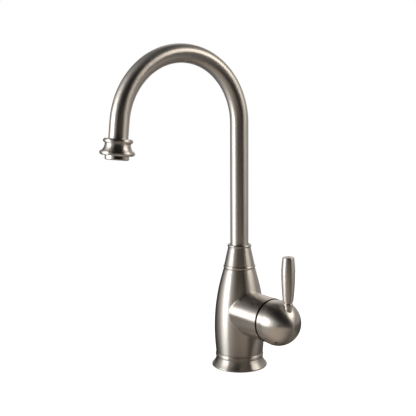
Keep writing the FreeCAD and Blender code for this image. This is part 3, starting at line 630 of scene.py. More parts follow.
@dataclass(frozen=True)
class MappedGrain(Grain):
    """Grain of a piece made here, which carries its own map and edge mask."""

    label: str = "mapped"

    def sockets(self, nodes: Nodes) -> GrainSockets:
        """Read the map and the mask. See Grain.sockets."""
        around, along, _ = nodes.parts(nodes.add("UVMap", uv_map=MAP_NAME).outputs[0])
        tangent = nodes.add("Tangent", direction_type="UV_MAP", uv_map=MAP_NAME)
        edge = nodes.add("Attribute", attribute_name=EDGE_NAME, attribute_type="GEOMETRY")
        return GrainSockets(around, along, tangent.outputs[0], edge.outputs["Fac"])


@dataclass(frozen=True)
class AxisGrain(Grain):
    """Grain of a CAD node that is turned about an upright axis, or about the hub's axis.

    Attributes:
        label: Short name for the material.
        sideways: Whether the axis is the hub's, along X, and not upright.
        centre: A point on the axis, in metres.
        slope: How much the way along a flat end counts against the way along the axis.
        joint_at: Middle of the gap between hub and knob along the hub's axis, in metres.
        joint_inner: Distance from that middle within which the painted shade beside the gap is
            fully dark.
        joint_outer: Distance at which it has faded out.
    """

    label: str = "upright"
    sideways: bool = False
    centre: tuple[float, float, float] = (0.0, 0.0, 0.0)
    slope: float = 0.7
    joint_at: float = 51.35 * MM
    joint_inner: float = 0.665 * MM
    joint_outer: float = 1.235 * MM

    def sockets(self, nodes: Nodes) -> GrainSockets:
        """Work out the angle about the axis and the way along the surface. See Grain.sockets."""
        x, y, z = (nodes.math("SUBTRACT", part, middle)
                   for part, middle in zip(nodes.parts(nodes.place()), self.centre))
        first, second, height = (y, z, x) if self.sideways else (x, y, z)
        angle = nodes.math("DIVIDE", nodes.math("ARCTAN2", second, first), 2 * math.pi)
        inward = nodes.math("MULTIPLY", nodes.distance(first, second), self.slope)
        back = nodes.math("MULTIPLY", second, -1.0)
        local = nodes.vector(*((0.0, back, first) if self.sideways else (back, first, 0.0)))
        world = nodes.add("VectorTransform", {0: local}, vector_type="VECTOR",
                          convert_from="OBJECT", convert_to="WORLD")
        painted_joint_shade: Any = 0.0
        # Painted shade: a dark band on either side of the gap to the knob, for the shade in that
        # gap.
        if self.sideways:
            away = nodes.math("ABSOLUTE", nodes.math("SUBTRACT", height, self.joint_at))
            painted_joint_shade = nodes.remap(away, self.joint_outer, self.joint_inner, smooth=True)
        return GrainSockets(angle, nodes.math("SUBTRACT", height, inward), world.outputs[0],
                            painted_joint_shade=painted_joint_shade)


@dataclass(frozen=True)
class CastingGrain(Grain):
    """Grain of the casting: round the upright axis, but round the hub's own axis on the hub.

    Attributes:
        label: Short name for the material.
        hub_height: Height of the hub's axis, in metres.
        hub_reach: Distance from that axis up to which a point belongs to the hub.
        fillet: Radius of the softened corner at the hub's root, in metres.
        fillet_samples: Rays that find that corner.
    """

    label: str = "casting"
    hub_height: float = 56.5 * MM
    hub_reach: float = 22.0 * MM
    fillet: float = 1.6 * MM
    fillet_samples: int = 6

    def sockets(self, nodes: Nodes) -> GrainSockets:
        """Choose between the two axes. See Grain.sockets."""
        upright = AxisGrain().sockets(nodes)
        hub = AxisGrain(sideways=True, centre=(0.0, 0.0, self.hub_height)).sockets(nodes)
        x, y, z = nodes.parts(nodes.place())
        up = nodes.math("SUBTRACT", z, self.hub_height)
        near = nodes.math("LESS_THAN", nodes.distance(y, up), self.hub_reach)
        on_hub = nodes.math("MULTIPLY", near, nodes.math("GREATER_THAN", x, 0.0))
        chosen = []
        for name, kind, socket, output in (("around", "FLOAT", 2, 0), ("along", "FLOAT", 2, 0),
                                           ("tangent", "VECTOR", 4, 1)):
            given = {0: on_hub, socket: getattr(upright, name), socket + 1: getattr(hub, name)}
            chosen.append(nodes.add("Mix", given, data_type=kind).outputs[output])
        bevel = nodes.add("Bevel", {"Radius": self.fillet}, samples=self.fillet_samples)
        return GrainSockets(*chosen, painted_joint_shade=hub.painted_joint_shade, normal=bevel.outputs[0])


# ---------------------------------------------------------------- finishes


class Finish(ABC):
    """A surface finish that makes a material for a given grain."""

    slot: str
    look: str

    def material(self, grain: Grain) -> bpy.types.Material:
        """Return the material, made at its first use.

        Args:
            grain: The way in which the lines run on the piece.

        Returns:
            The material.
        """
        name = f"{self.slot}.{self.look}.{grain.label}"
        made = bpy.data.materials.get(name)
        if made:
            return made
        made = bpy.data.materials.new(name)
        nodes = Nodes.emptied(made)
        shader = nodes.add("BsdfPrincipled")
        nodes.add("OutputMaterial", {"Surface": shader.outputs[0]})
        self.dress(nodes, shader, grain)
        return made

    @abstractmethod
    def dress(self, nodes: Nodes, shader: bpy.types.Node, grain: Grain) -> None:
        """Wire the shader.

        Args:
            nodes: The material's tree.
            shader: Its Principled BSDF.
            grain: The way in which the lines run on the piece.
        """


@dataclass(frozen=True)
class TurnedMetal(Finish):
    """Metal with fine lines round it, more polished on its edges.

    Attributes:
        slot: The record's material slot.
        colour: Colour of the metal.
        tint: Colour in the valleys of the lines.
        roughness: Mean roughness.
        spread: How much the lines change the roughness.
        stretch: Anisotropy of the highlight, across the lines.
        pitch: Width of a line, in metres.
        depth: Depth of the lines, in metres.
        polish: How much smoother the edges are.
        film: How much handling adds to the roughness.
        fine_share: Share of the fine lines in the colour; the rest is the bands'.
        look: Name of this variety of the slot's finish.
    """

    slot: str
    colour: Colour
    tint: Colour
    roughness: float
    spread: float = 0.012
    stretch: float = 0.8
    pitch: float = 0.00035
    depth: float = 0.0000008
    polish: float = 0.08
    film: float = 0.015
    fine_share: float = 0.6
    look: str = "turned"

    def dress(self, nodes: Nodes, shader: bpy.types.Node, grain: Grain) -> None:
        """Wire lines, film and edges into colour, roughness and bump. See Finish.dress."""
        run = grain.sockets(nodes)
        made = nodes.use(TurningLines().group(),
                         {"Around": run.around, "Along": run.along, "Pitch": self.pitch})
        lines, bands = made["Lines"], made["Bands"]
        film = nodes.use(Handling().group(), {"Place": nodes.place()})["Film"]
        shade = nodes.math("ADD", nodes.math("MULTIPLY", lines, self.fine_share),
                           nodes.math("MULTIPLY", bands, 1 - self.fine_share))
        rough = nodes.math("ADD", self.roughness - self.spread,
                           nodes.math("MULTIPLY", lines, 2 * self.spread))
        rough = nodes.math("ADD", rough, nodes.math("MULTIPLY", film, self.film))
        polished = nodes.math("MULTIPLY", run.edge, self.polish)
        metal = nodes.blend(shade, self.tint, self.colour)
        nodes.feed(shader, {
            # Painted shade: the joint mask darkens the metal beside the gap between hub and knob.
            "Base Color": nodes.blend(run.painted_joint_shade, metal, JOINT_SHADE),
            "Roughness": nodes.math("SUBTRACT", rough, polished, clamp=True),
            "Normal": nodes.bump(lines, self.depth, run.normal),
            "Metallic": 1.0,
            "Anisotropic": self.stretch,
            "Anisotropic Rotation": QUARTER_TURN,
            "Tangent": run.tangent,
        })


@dataclass(frozen=True)
class Moulded(Finish):
    """Plastic, rubber or ceramic with a fine even grain.

    Attributes:
        slot: The record's material slot.
        colour: Colour of the surface.
        tint: Colour in its hollows.
        roughness: Mean roughness.
        grain_size: Size of the grain, in metres.
        depth: Depth of the grain, in metres.
        film: How much handling adds to the roughness.
        look: Name of this variety of the slot's finish.
    """

    slot: str
    colour: Colour
    tint: Colour
    roughness: float
    grain_size: float = 0.0004
    depth: float = 0.00001
    film: float = 0.08
    look: str = "moulded"

    def dress(self, nodes: Nodes, shader: bpy.types.Node, grain: Grain) -> None:
        """Wire grain and film into colour, roughness and bump. See Finish.dress."""
        place = nodes.place()
        speckle = nodes.use(Speckle().group(), {"Place": place, "Size": self.grain_size})["Speckle"]
        film = nodes.math("MULTIPLY", nodes.use(Handling().group(), {"Place": place})["Film"],
                          self.film)
        nodes.feed(shader, {
            "Base Color": nodes.blend(speckle, self.tint, self.colour),
            "Roughness": nodes.math("ADD", self.roughness, film),
            "Normal": nodes.bump(speckle, self.depth),
        })


QUARTER_TURN = 0.25
# Colour of the painted shade beside the gap between hub and knob.
JOINT_SHADE = (0.045, 0.034, 0.028)
BRUSHED_NICKEL = TurnedMetal("brushed_nickel", (0.60, 0.555, 0.505), (0.55, 0.505, 0.455), 0.37,
                             stretch=0.93)
TUBE_NICKEL = replace(BRUSHED_NICKEL, roughness=0.39, stretch=0.82, look="drawn")
KNOB_NICKEL = replace(BRUSHED_NICKEL, roughness=0.34, stretch=0.78, look="polished_ball")
LEVER_NICKEL = replace(BRUSHED_NICKEL, roughness=0.42, stretch=0.8, look="lever")
BONNET_NICKEL = replace(BRUSHED_NICKEL, roughness=0.41, stretch=0.95, look="bonnet")
POLISHED_NICKEL = TurnedMetal("polished_nickel", (0.64, 0.595, 0.545), (0.60, 0.555, 0.505), 0.35,
                              stretch=0.98)
FOOT_NICKEL = replace(POLISHED_NICKEL, roughness=0.38, stretch=1.0, look="foot")
AERATOR_NICKEL = replace(POLISHED_NICKEL, roughness=0.2, stretch=0.3, look="aerator")

FINISHES: dict[str, Finish] = {finish.slot: finish for finish in (
    BRUSHED_NICKEL,
    POLISHED_NICKEL,
    TurnedMetal("brass", (0.78, 0.58, 0.26), (0.66, 0.47, 0.2), 0.24),
    TurnedMetal("stainless", (0.56, 0.56, 0.57), (0.44, 0.44, 0.45), 0.3),
    Moulded("rubber", (0.022, 0.022, 0.024), (0.014, 0.014, 0.015), 0.55),
    Moulded("white_plastic", (0.8, 0.8, 0.78), (0.74, 0.74, 0.72), 0.38),
    Moulded("grey_plastic", (0.3, 0.3, 0.31), (0.24, 0.24, 0.25), 0.42),
    Moulded("ceramic", (0.86, 0.85, 0.8), (0.82, 0.81, 0.76), 0.12, depth=0.000002),
)}


# ---------------------------------------------------------------- the faucet


class Body(Enum):
    """The bodies that move on their own."""

    FIXED = "faucet_body"
    HANDLE = "handle"
    SPOUT = "spout"


def seat(piece: bpy.types.Object, finish: Finish, body: Body, *nodes: str) -> None:
    """Dress a new piece, let it ride on its body and stand for its CAD nodes.

    Args:
        piece: The new piece, with its own map.
        finish: Its finish.
        body: The body that it moves with.
        *nodes: The CAD nodes that it stands for.
    """
    piece.data.materials.append(finish.material(MappedGrain()))
    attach(piece, body.value)
    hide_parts(*nodes)
    count = len(piece.data.vertices)
    LOG.info("%s: %s, %d vertices, on %s", piece.name, finish.slot, count, body.value)


@dataclass
class Base:
    """The flared foot with its beaded top, in millimetres."""

    inner: float = 19.1
    gasket_height: float = 1.2
    gasket_inner: float = 20.6
    gasket_outer: float = 25.0
    radius: float = 27.6
    band: float = 1.9
    edge: float = 0.6
    waist: float = 23.2
    flare_height: float = 9.6
    flare_bend: float = 13.0
    groove: float = 0.2
    height: float = 14.1
    bead: float = 24.05
    bead_rise: float = 0.65
    bead_bend: float = 3.6

    def outline(self) -> Outline:
        """Draw the ring's section.

        Returns:
            The closed outline.
        """
        bead_foot, bead_edge = self.flare_height + self.groove, self.bead - self.bead_rise
        drawn = Outline((self.inner, self.gasket_height), soft=SMALL)
        drawn.lines((self.gasket_inner, self.gasket_height),
                    (self.gasket_outer, self.gasket_height),
                    (self.gasket_outer, 0.0),
                    (self.radius - self.edge, 0.0, EASED),
                    (self.radius, self.edge, SOFT),
                    (self.radius, self.band, ROUND))
        drawn.arc(self.waist, self.flare_height, self.flare_bend, CRISP, Turn.RIGHT)
        drawn.lines((bead_edge, bead_foot, CRISP))
        drawn.arc(self.bead, (bead_foot + self.height) / 2, self.bead_bend)
        drawn.arc(bead_edge, self.height, self.bead_bend, EASED)
        drawn.lines((self.inner, self.height), (self.inner, self.gasket_height))
        return drawn

    def build(self) -> None:
        """Make the ring."""
        seat(turned("base_flare", self.outline(), sides=160), FOOT_NICKEL, Body.FIXED, "base_ring")


@dataclass
class Neck:
    """The neck ring and the tapered bonnet over it, in millimetres."""

    body_height: float = 99.8
    thread: float = 13.4
    thread_length: float = 8.0
    ring_height: float = 3.1
    ring_radius: float = 15.97
    ring_rise: float = 0.64
    ring_bend: float = 2.2
    foot: float = 15.1
    top_radius: float = 11.2
    lip_bead: float = 11.9
    lip_bend: float = 1.35
    height: float = 20.6
    bore: float = 12.0
    step_rise: float = 3.7
    slip_bore: float = 10.48
    tube_radius: float = 9.0
    lip_gap: float = 0.25
    lip_depth: float = 0.6
    chamfer: float = 0.35

    def ring_outline(self) -> Outline:
        """Draw the neck ring's section.

        Returns:
            The closed outline.
        """
        low, high = self.body_height, self.body_height + self.ring_height
        edge = self.ring_radius - self.ring_rise
        drawn = Outline((self.thread, low), soft=CRISP, step=0.4)
        drawn.lines((edge, low, FINE))
        drawn.arc(self.ring_radius, (low + high) / 2, self.ring_bend)
        drawn.arc(edge, high, self.ring_bend, FINE)
        drawn.lines((self.thread, high), (self.thread, low))
        return drawn

    def bonnet_outline(self) -> Outline:
        """Draw the bonnet's section.

        Returns:
            The closed outline.
        """
        start = self.body_height - self.thread_length
        foot = self.body_height + self.ring_height
        top = foot + self.height
        centre, crown = top - self.lip_bend, self.lip_bead - self.lip_bend
        rise = math.sqrt(self.lip_bend ** 2 - (self.top_radius - crown) ** 2)
        lip, lip_floor = self.tube_radius + self.lip_gap, top - self.lip_depth
        step = foot + self.step_rise
        drawn = Outline((self.bore, start))
        drawn.lines((self.thread, start),
                    (self.thread, foot, CRISP),
                    (self.foot - self.chamfer, foot, SMALL),
                    (self.foot, foot + self.chamfer, SOFT),
                    (self.top_radius, centre - rise, FINE))
        drawn.arc(self.lip_bead, centre, self.lip_bend)
        drawn.arc(crown, top, self.lip_bend, CRISP)
        drawn.lines((lip, lip_floor, CRISP),
                    (lip, lip_floor - self.lip_depth, CRISP),
                    (self.slip_bore, lip_floor - self.lip_depth, CRISP),
                    (self.slip_bore, step, CRISP),
                    (self.bore, step, CRISP),
                    (self.bore, start))
        return drawn

    def build(self) -> None:
        """Make the ring and the bonnet."""
        seat(turned("neck_bead", self.ring_outline()), POLISHED_NICKEL, Body.FIXED, "neck_ring")
        bonnet = turned("bonnet_cone", self.bonnet_outline())
        seat(bonnet, BONNET_NICKEL, Body.FIXED, "spout_bonnet")


@dataclass
class Gooseneck:
    """The bent tube, in millimetres and degrees."""

    radius: float = 9.0
    wall: float = 1.2
    start: float = 105.0
    bend_height: float = 243.5
    bend_radius: float = 67.9
    bend_angle: float = 174.2
    outlet_run: float = 25.0
    step: float = 2.0
    sides: int = 96

    def bent(self, turn: float) -> tuple[Vector, Vector]:
        """Follow the bend.

        Args:
            turn: Angle from its start, in radians.

        Returns:
            The place there, and the outward direction across the bend.
        """
        across = Vector((0, math.cos(turn), math.sin(turn)))
        middle = Vector((0, -self.bend_radius, self.bend_height))
        return middle + across * self.bend_radius, across

    def outlet_frame(self) -> Matrix:
        """Place the outlet: origin at the end of the bend, Z out of the tube, in metres."""
        turn = math.radians(self.bend_angle)
        return Matrix.Translation(self.bent(turn)[0] * MM) @ Matrix.Rotation(turn, 4, "X")

    def shares(self, length: float) -> list[float]:
        """Return shares from 0 up to 1 that divide a length into steps, without the last."""
        count = math.ceil(length / self.step)
        return [number / count for number in range(count)]

    def route(self) -> list[tuple[Vector, Vector, float]]:
        """Follow the middle of the tube.

        Returns:
            Points of (place, outward direction across the bend, distance travelled).
        """
        rise, turn = self.bend_height - self.start, math.radians(self.bend_angle)
        curve = turn * self.bend_radius
        corner, across = self.bent(turn)
        ahead = Vector((0, -math.sin(turn), math.cos(turn)))
        found = [(Vector((0, 0, self.start + rise * share)), Vector((0, 1, 0)), rise * share)
                 for share in self.shares(rise)]
        found += [(*self.bent(turn * share), rise + curve * share) for share in self.shares(curve)]
        return found + [(corner + ahead * (self.outlet_run * share), across,
                         rise + curve + self.outlet_run * share)
                        for share in (*self.shares(self.outlet_run), 1.0)]

    def build(self) -> None:
        """Sweep the tube's wall along the middle line."""
        route, side = self.route(), Vector((1, 0, 0))
        rings, along = [], []
        for radius, stretch in ((self.radius, route), (self.radius - self.wall, route[::-1])):
            for place, across, travelled in stretch:
                rings.append([(place + (side * level + across * out) * radius) * MM
                              for level, out in circle(self.sides)])
                along.append(travelled * MM)
        tube = Skin("gooseneck_tube", rings, along, [0.0] * len(rings)).build()
        seat(tube, TUBE_NICKEL, Body.SPOUT, "spout_tube")


@dataclass
class Outlet:
    """The collar and the aerator's ring, measured in millimetres along the outlet."""

    tube_radius: float = 9.0
    tube_inner: float = 7.8
    start: float = 15.4
    upper_radius: float = 13.6
    upper: float = 17.6
    upper_bead: float = 2.1
    upper_wrap: float = 73.4
    waist_radius: float = 11.75
    waist: float = 20.2
    waist_bend: float = 8.6
    lower_radius: float = 16.1
    lower: float = 28.4
    lower_bead: float = 2.2
    lower_wrap: float = 79.6
    foot_radius: float = 11.9
    foot_gap: float = 0.3
    thread: float = 10.1
    run: float = 25.0
    ledge: float = 0.8
    ring_radius: float = 11.05
    ring_height: float = 4.3
    ring_edge: float = 0.7
    bore: float = 8.8
    lip: float = 0.8
    lip_radius: float = 7.9
    washer: float = 1.5

    def collar_outline(self) -> Outline:
        """Draw the collar's section.

        Returns:
            The closed outline.
        """
        upper_edge = self.upper_radius - self.upper_bead
        lower_edge = self.lower_radius - self.lower_bead
        wrap, lap = math.radians(self.upper_wrap), math.radians(self.lower_wrap)
        foot, chamber = self.lower + self.lower_bead, self.run + self.ledge
        drawn = Outline((self.tube_radius, self.start), soft=FINE, step=0.5)
        drawn.lines((upper_edge, self.upper - self.upper_bead, SMOOTH))
        drawn.arc(self.upper_radius, self.upper, self.upper_bead)
        drawn.arc(upper_edge + self.upper_bead * math.cos(wrap),
                  self.upper + self.upper_bead * math.sin(wrap), self.upper_bead)
        drawn.lines((self.waist_radius, self.waist, SMOOTH))
        drawn.arc(lower_edge + self.lower_bead * math.cos(lap),
                  self.lower - self.lower_bead * math.sin(lap), self.waist_bend, turn=Turn.RIGHT)
        drawn.arc(self.lower_radius, self.lower, self.lower_bead)
        drawn.arc(lower_edge, foot, self.lower_bead)
        drawn.lines((self.foot_radius, foot),
                    (self.foot_radius, foot - self.foot_gap),
                    (self.thread, foot - self.foot_gap),
                    (self.thread, chamber),
                    (self.tube_inner, chamber),
                    (self.tube_inner, self.run),
                    (self.tube_radius, self.run),
                    (self.tube_radius, self.start))
        return drawn

    def aerator_outline(self) -> Outline:
        """Draw the section of the aerator's screw-in ring.

        Returns:
            The closed outline.
        """
        top = self.run + self.ledge + self.washer
        shoulder = self.lower + self.lower_bead - self.foot_gap
        end = shoulder + self.ring_height
        drawn = Outline((self.bore, top), soft=FINE, step=0.5)
        drawn.lines((self.thread, top),
                    (self.thread, shoulder),
                    (self.ring_radius, shoulder, BROKEN),
                    (self.ring_radius, end - self.ring_edge, EASED),
                    (self.ring_radius - self.ring_edge, end, BROKEN),
                    (self.lip_radius, end, SMALL),
                    (self.lip_radius, end - self.lip),
                    (self.bore, end - self.lip),
                    (self.bore, top))
        return drawn

    def build(self, place: Matrix) -> None:
        """Make the collar and the ring.

        Args:
            place: Frame of the outlet, in metres.
        """
        collar = turned("collar_flanges", self.collar_outline(), place, sides=144)
        seat(collar, POLISHED_NICKEL, Body.SPOUT, "outlet_collar")
        ring = turned("aerator_ring", self.aerator_outline(), place)
        seat(ring, AERATOR_NICKEL, Body.SPOUT, "aerator_housing")


@dataclass
class Lever:
    """The turned lever, in millimetres above its shoulder on the knob."""

    axis: float = 73.8
    hub_height: float = 56.5
    ball_offset: float = 60.0
    ball_radius: float = 21.8
    seat_depth: float = 0.4
    thread: float = 3.0
    thread_length: float = 7.0
    neck: float = 3.55
    ring_radius: float = 4.7
    ring_height: float = 2.0
    ring_edge: float = 0.35
    ring_rise: float = 7.95
    grip_rise: float = 10.2
    grip_foot: float = 4.9
    grip_edge: float = 0.5
    grip_radius: float = 6.55
    grip_widest: float = 36.2
    grip_top: float = 5.45
    lower_bend: float = 230.0
    upper_bend: float = 135.0
    length: float = 52.8
    top_edge: float = 0.4

    def shoulder(self) -> float:
        """Return the height of the shoulder above the deck."""
        aside = self.axis + self.neck - self.ball_offset
        return self.hub_height + math.sqrt(self.ball_radius ** 2 - aside ** 2) - self.seat_depth

    def outline(self) -> Outline:
        """Draw the lever's outline, from its threaded end to its top.

        Returns:
            The open outline, which starts and ends on the axis.
        """
        half, edge = self.ring_height / 2, self.ring_radius - self.ring_edge
        drawn = Outline((0.0, -self.thread_length), soft=FINE)
        drawn.lines((self.thread, -self.thread_length),
                    (self.thread, 0.0),
                    (self.neck, 0.0),
                    (self.neck, self.ring_rise - half, CRISP),
                    (edge, self.ring_rise - half, FINE))
        drawn.arc(self.ring_radius, self.ring_rise, self.ring_height)
        drawn.arc(edge, self.ring_rise + half, self.ring_height, FINE)
        drawn.lines((self.neck, self.ring_rise + half, CRISP),
                    (self.neck, self.grip_rise, CRISP),
                    (self.grip_foot - self.grip_edge, self.grip_rise, SMALL),
                    (self.grip_foot, self.grip_rise + self.grip_edge, SOFT))
        drawn.arc(self.grip_radius, self.grip_widest, self.lower_bend)
        drawn.arc(self.grip_top, self.length - self.top_edge, self.upper_bend, SOFT)
        drawn.lines((self.grip_top - self.top_edge, self.length, EASED), (0.0, self.length))
        return drawn

    def build(self) -> None:
        """Make the lever."""
        place = Matrix.Translation(Vector((self.axis, 0.0, self.shoulder())) * MM)
        lever = turned("lever_grip", self.outline(), place, closed=False, sides=96)
        seat(lever, LEVER_NICKEL, Body.HANDLE, "lever")


@dataclass
class CadPieces:
    """The CAD nodes that keep their own meshes, measured in metres.

    Attributes:
        nodes: The frame's nodes by name.
        slots: The record's slot of each node.
        hub_height: Height of the hub's axis.
        hub_start: Distance from the body's axis past which a piece may lie on the hub's axis.
        outlet_start: Distance from the body's axis past which a piece lies on the outlet's axis.
    """

    nodes: dict[str, bpy.types.Object]
    slots: dict[str, str]
    hub_height: float = 56.5 * MM
    hub_start: float = 10.0 * MM
    outlet_start: float = 50.0 * MM

    def grain_of(self, name: str) -> Grain:
        """Choose the grain of a node.

        Args:
            name: The node.

        Returns:
            Its grain.
        """
        if name == "body":
            return CastingGrain(hub_height=self.hub_height)
        low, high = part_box(name)
        middle = (low + high) / 2
        if abs(middle.z - self.hub_height) < MM and middle.x > self.hub_start:
            return AxisGrain("hub", True, (0.0, 0.0, self.hub_height))
        if abs(middle.y) > self.outlet_start:
            return AxisGrain("outlet", False, (0.0, middle.y, 0.0))
        return AxisGrain()

    def dress(self) -> None:
        """Give every node its finish."""
        for name, node in self.nodes.items():
            finish = KNOB_NICKEL if name == "knob" else FINISHES[self.slots[name]]
            material = finish.material(self.grain_of(name))
            node.data.materials.clear()
            node.data.materials.append(material)
            LOG.info("%s keeps its mesh: %s", name, material.name)


# ---------------------------------------------------------------- studio and camera


@dataclass
class Camera:
    """The photograph's camera, for a square frame of 416 pixels.

    Attributes:
        place: Its place, in metres.
        azimuth: Its direction as seen from the faucet, in degrees from -Y towards +X.
        pitch: How far it looks down, in degrees.
        roll: How far the picture is turned anticlockwise, in degrees.
        focal_pixels: Focal length in pixels of that frame.
        rise_pixels: How far the picture is moved up in the frame.
        frame_pixels: Width of the frame.
        sensor_width: Width of the sensor, in millimetres.
    """

    place: tuple[float, float, float] = (0.6865, -0.5376, 0.2904)
    azimuth: float = 53.97
    pitch: float = 6.58
    roll: float = 0.3
    focal_pixels: float = 887.05
    rise_pixels: float = 30.0
    frame_pixels: float = 416.0
    sensor_width: float = 36.0

    def build(self) -> None:
        """Make the camera and choose it."""
        camera = bpy.data.cameras.new("camera")
        camera.sensor_width = self.sensor_width
        camera.lens = self.sensor_width * self.focal_pixels / self.frame_pixels
        camera.shift_y = -self.rise_pixels / self.frame_pixels
        turn, down = math.radians(self.azimuth), math.radians(self.pitch)
        level = math.cos(down)
        ahead = Vector((-math.sin(turn) * level, math.cos(turn) * level, -math.sin(down)))
        lean = Quaternion((0, 0, 1), -math.radians(self.roll))
        holder = linked("camera", camera)
        holder.rotation_mode = "QUATERNION"
        holder.rotation_quaternion = ahead.to_track_quat("-Z", "Y") @ lean
        holder.location = self.place
        bpy.context.scene.camera = holder


class Zone(Effect):
    """A soft-edged patch of the surroundings, by bearing from the camera and height."""

    name = "studio zone"
    inputs = {"Bearing": ("Float", 0.0), "Height": ("Float", 0.0), "Left": ("Float", -30.0),
              "Right": ("Float", 30.0), "Low": ("Float", -20.0), "High": ("Float", 20.0),
              "Side Fade": ("Float", 8.0), "Top Fade": ("Float", 8.0)}
    outputs = {"Mask": "Float"}

    def wire(self, nodes: Nodes, given: dict[str, bpy.types.NodeSocket]) -> dict[str, Any]:
        """Product of four soft steps. See Effect.wire."""
        mask: Any = 1.0
        for past, short, fade in (
                ("Bearing", "Left", "Side Fade"), ("Right", "Bearing", "Side Fade"),
                ("Height", "Low", "Top Fade"), ("High", "Height", "Top Fade")):
            inside = nodes.math("SUBTRACT", given[past], given[short])
            share = nodes.math("DIVIDE", inside, given[fade])
            mask = nodes.math("MULTIPLY", mask, nodes.remap(share, -0.5, 0.5, smooth=True))
        return {"Mask": mask}


@dataclass(frozen=True)
class Patch:
    """A part of the surroundings that the metal shows.

    Attributes:
        colour: Its brightness, where 1 is white.
        sides: Left and right edge, in degrees to the right of the camera's direction.
        side_fade: Width of the soft edge at the sides, in degrees.
        heights: Lower and upper edge, in degrees above the horizon.
        top_fade: Width of the soft edge above and below, in degrees.
    """

    colour: Colour
    sides: tuple[float, float]
    side_fade: float
    heights: tuple[float, float] = (-90.0, 90.0)
    top_fade: float = 1.0


@dataclass(frozen=True)
class Lamp:
    """A rectangular soft lamp that faces the faucet.

    Attributes:
        name: Its name.
        bearing: Its direction, in degrees to the right of the camera's.
        distance: Its level distance from the body's axis, in metres.
        height: Height of its middle, in metres.
        width: Its width, in metres.
        tall: Its height, in metres.
        colour: Its colour.
        brightness: Its brightness to the eye, where 1 is white.
        in_metal: Whether the metal shows it.
        feather: Share of its width over which it grows dimmer towards its left side.
        power: Power for each square metre and each unit of brightness.
    """

    name: str
    bearing: float
    distance: float
    height: float
    width: float
    tall: float
    colour: Colour
    brightness: float
    in_metal: bool = True
    feather: float = 0.0
    power: float = 4.0

    def build(self, towards: Vector) -> None:
        """Hang the lamp.

        Args:
            towards: The level direction in which it hangs.
        """
        light = bpy.data.lights.new(self.name, "AREA")
        light.shape = "RECTANGLE"
        light.size, light.size_y = self.width, self.tall
        light.color = self.colour
        light.energy = self.power * self.brightness * self.width * self.tall
        if self.feather:
            light.use_nodes = True
            nodes = Nodes(light.node_tree)
            across = nodes.parts(nodes.add("NewGeometry").outputs["Parametric"])[0]
            strength = nodes.remap(across, 0.0, self.feather, smooth=True)
            nodes.feed(light.node_tree.nodes["Emission"], {"Strength": strength})
        aim = Vector((0.0, 0.0, self.height))
        holder = linked(self.name, light)
        holder.location = towards * self.distance + aim
        holder.rotation_mode = "QUATERNION"
        holder.rotation_quaternion = (aim - holder.location).to_track_quat("-Z", "Y")
        holder.visible_camera = False
        holder.visible_glossy = self.in_metal


ROOM = (0.25, 0.24, 0.23)
ROOM_PATCHES = (
    Patch((0.005, 0.005, 0.006), (-400.0, 400.0), 10.0, (19.5, 200.0), 20.0),
    Patch((0.010, 0.0095, 0.009), (-75.0, 60.0), 28.0, (-200.0, 26.5), 13.0),
    Patch((0.046, 0.046, 0.046), (-160.0, -112.0), 16.0, (-200.0, 200.0), 10.0),
    Patch((0.46, 0.45, 0.44), (85.0, 200.0), 24.0, (-200.0, 60.0), 24.0),
    Patch((1.55, 1.55, 1.55), (-117.0, -44.0), 60.0, (-20.0, 28.0), 48.0),
    Patch((1.7, 1.66, 1.59), (66.0, 115.0), 40.0, (27.0, 45.5), 7.0),
)
# The table as the metal reflects it, in painted light and shadow: lighter in front and on the left,
# painted shadow to the right and behind.
TABLE_PAINTED_LIGHT = (0.58, 0.51, 0.445)
TABLE_PAINTED_LIGHT_AND_SHADOW = (
    Patch((0.53, 0.52, 0.5), (-80.0, -30.0), 26.0),
    Patch((0.03, 0.03, 0.03), (-180.0, -80.0), 26.0),
    Patch((0.145, 0.135, 0.125), (33.0, 70.0), 30.0),
    Patch((0.19, 0.175, 0.16), (58.0, 100.0), 30.0),
    Patch((0.08, 0.075, 0.07), (82.0, 180.0), 26.0),
)
LAMPS = (
    Lamp("left_softbox", -81.0, 1.1, 0.25, 0.96, 0.6, (0.98, 1.0, 1.03), 4.1, feather=0.75),
    Lamp("right_softbox", 81.5, 1.2, 0.96, 0.92, 0.73, (1.0, 0.95, 0.87), 2.4),
    Lamp("front_fill", 10.0, 1.5, 0.35, 1.2, 1.0, (1.0, 1.0, 1.0), 3.2, in_metal=False),
)
BLACK = (0.0, 0.0, 0.0)
WHITE = (1.0, 1.0, 1.0)


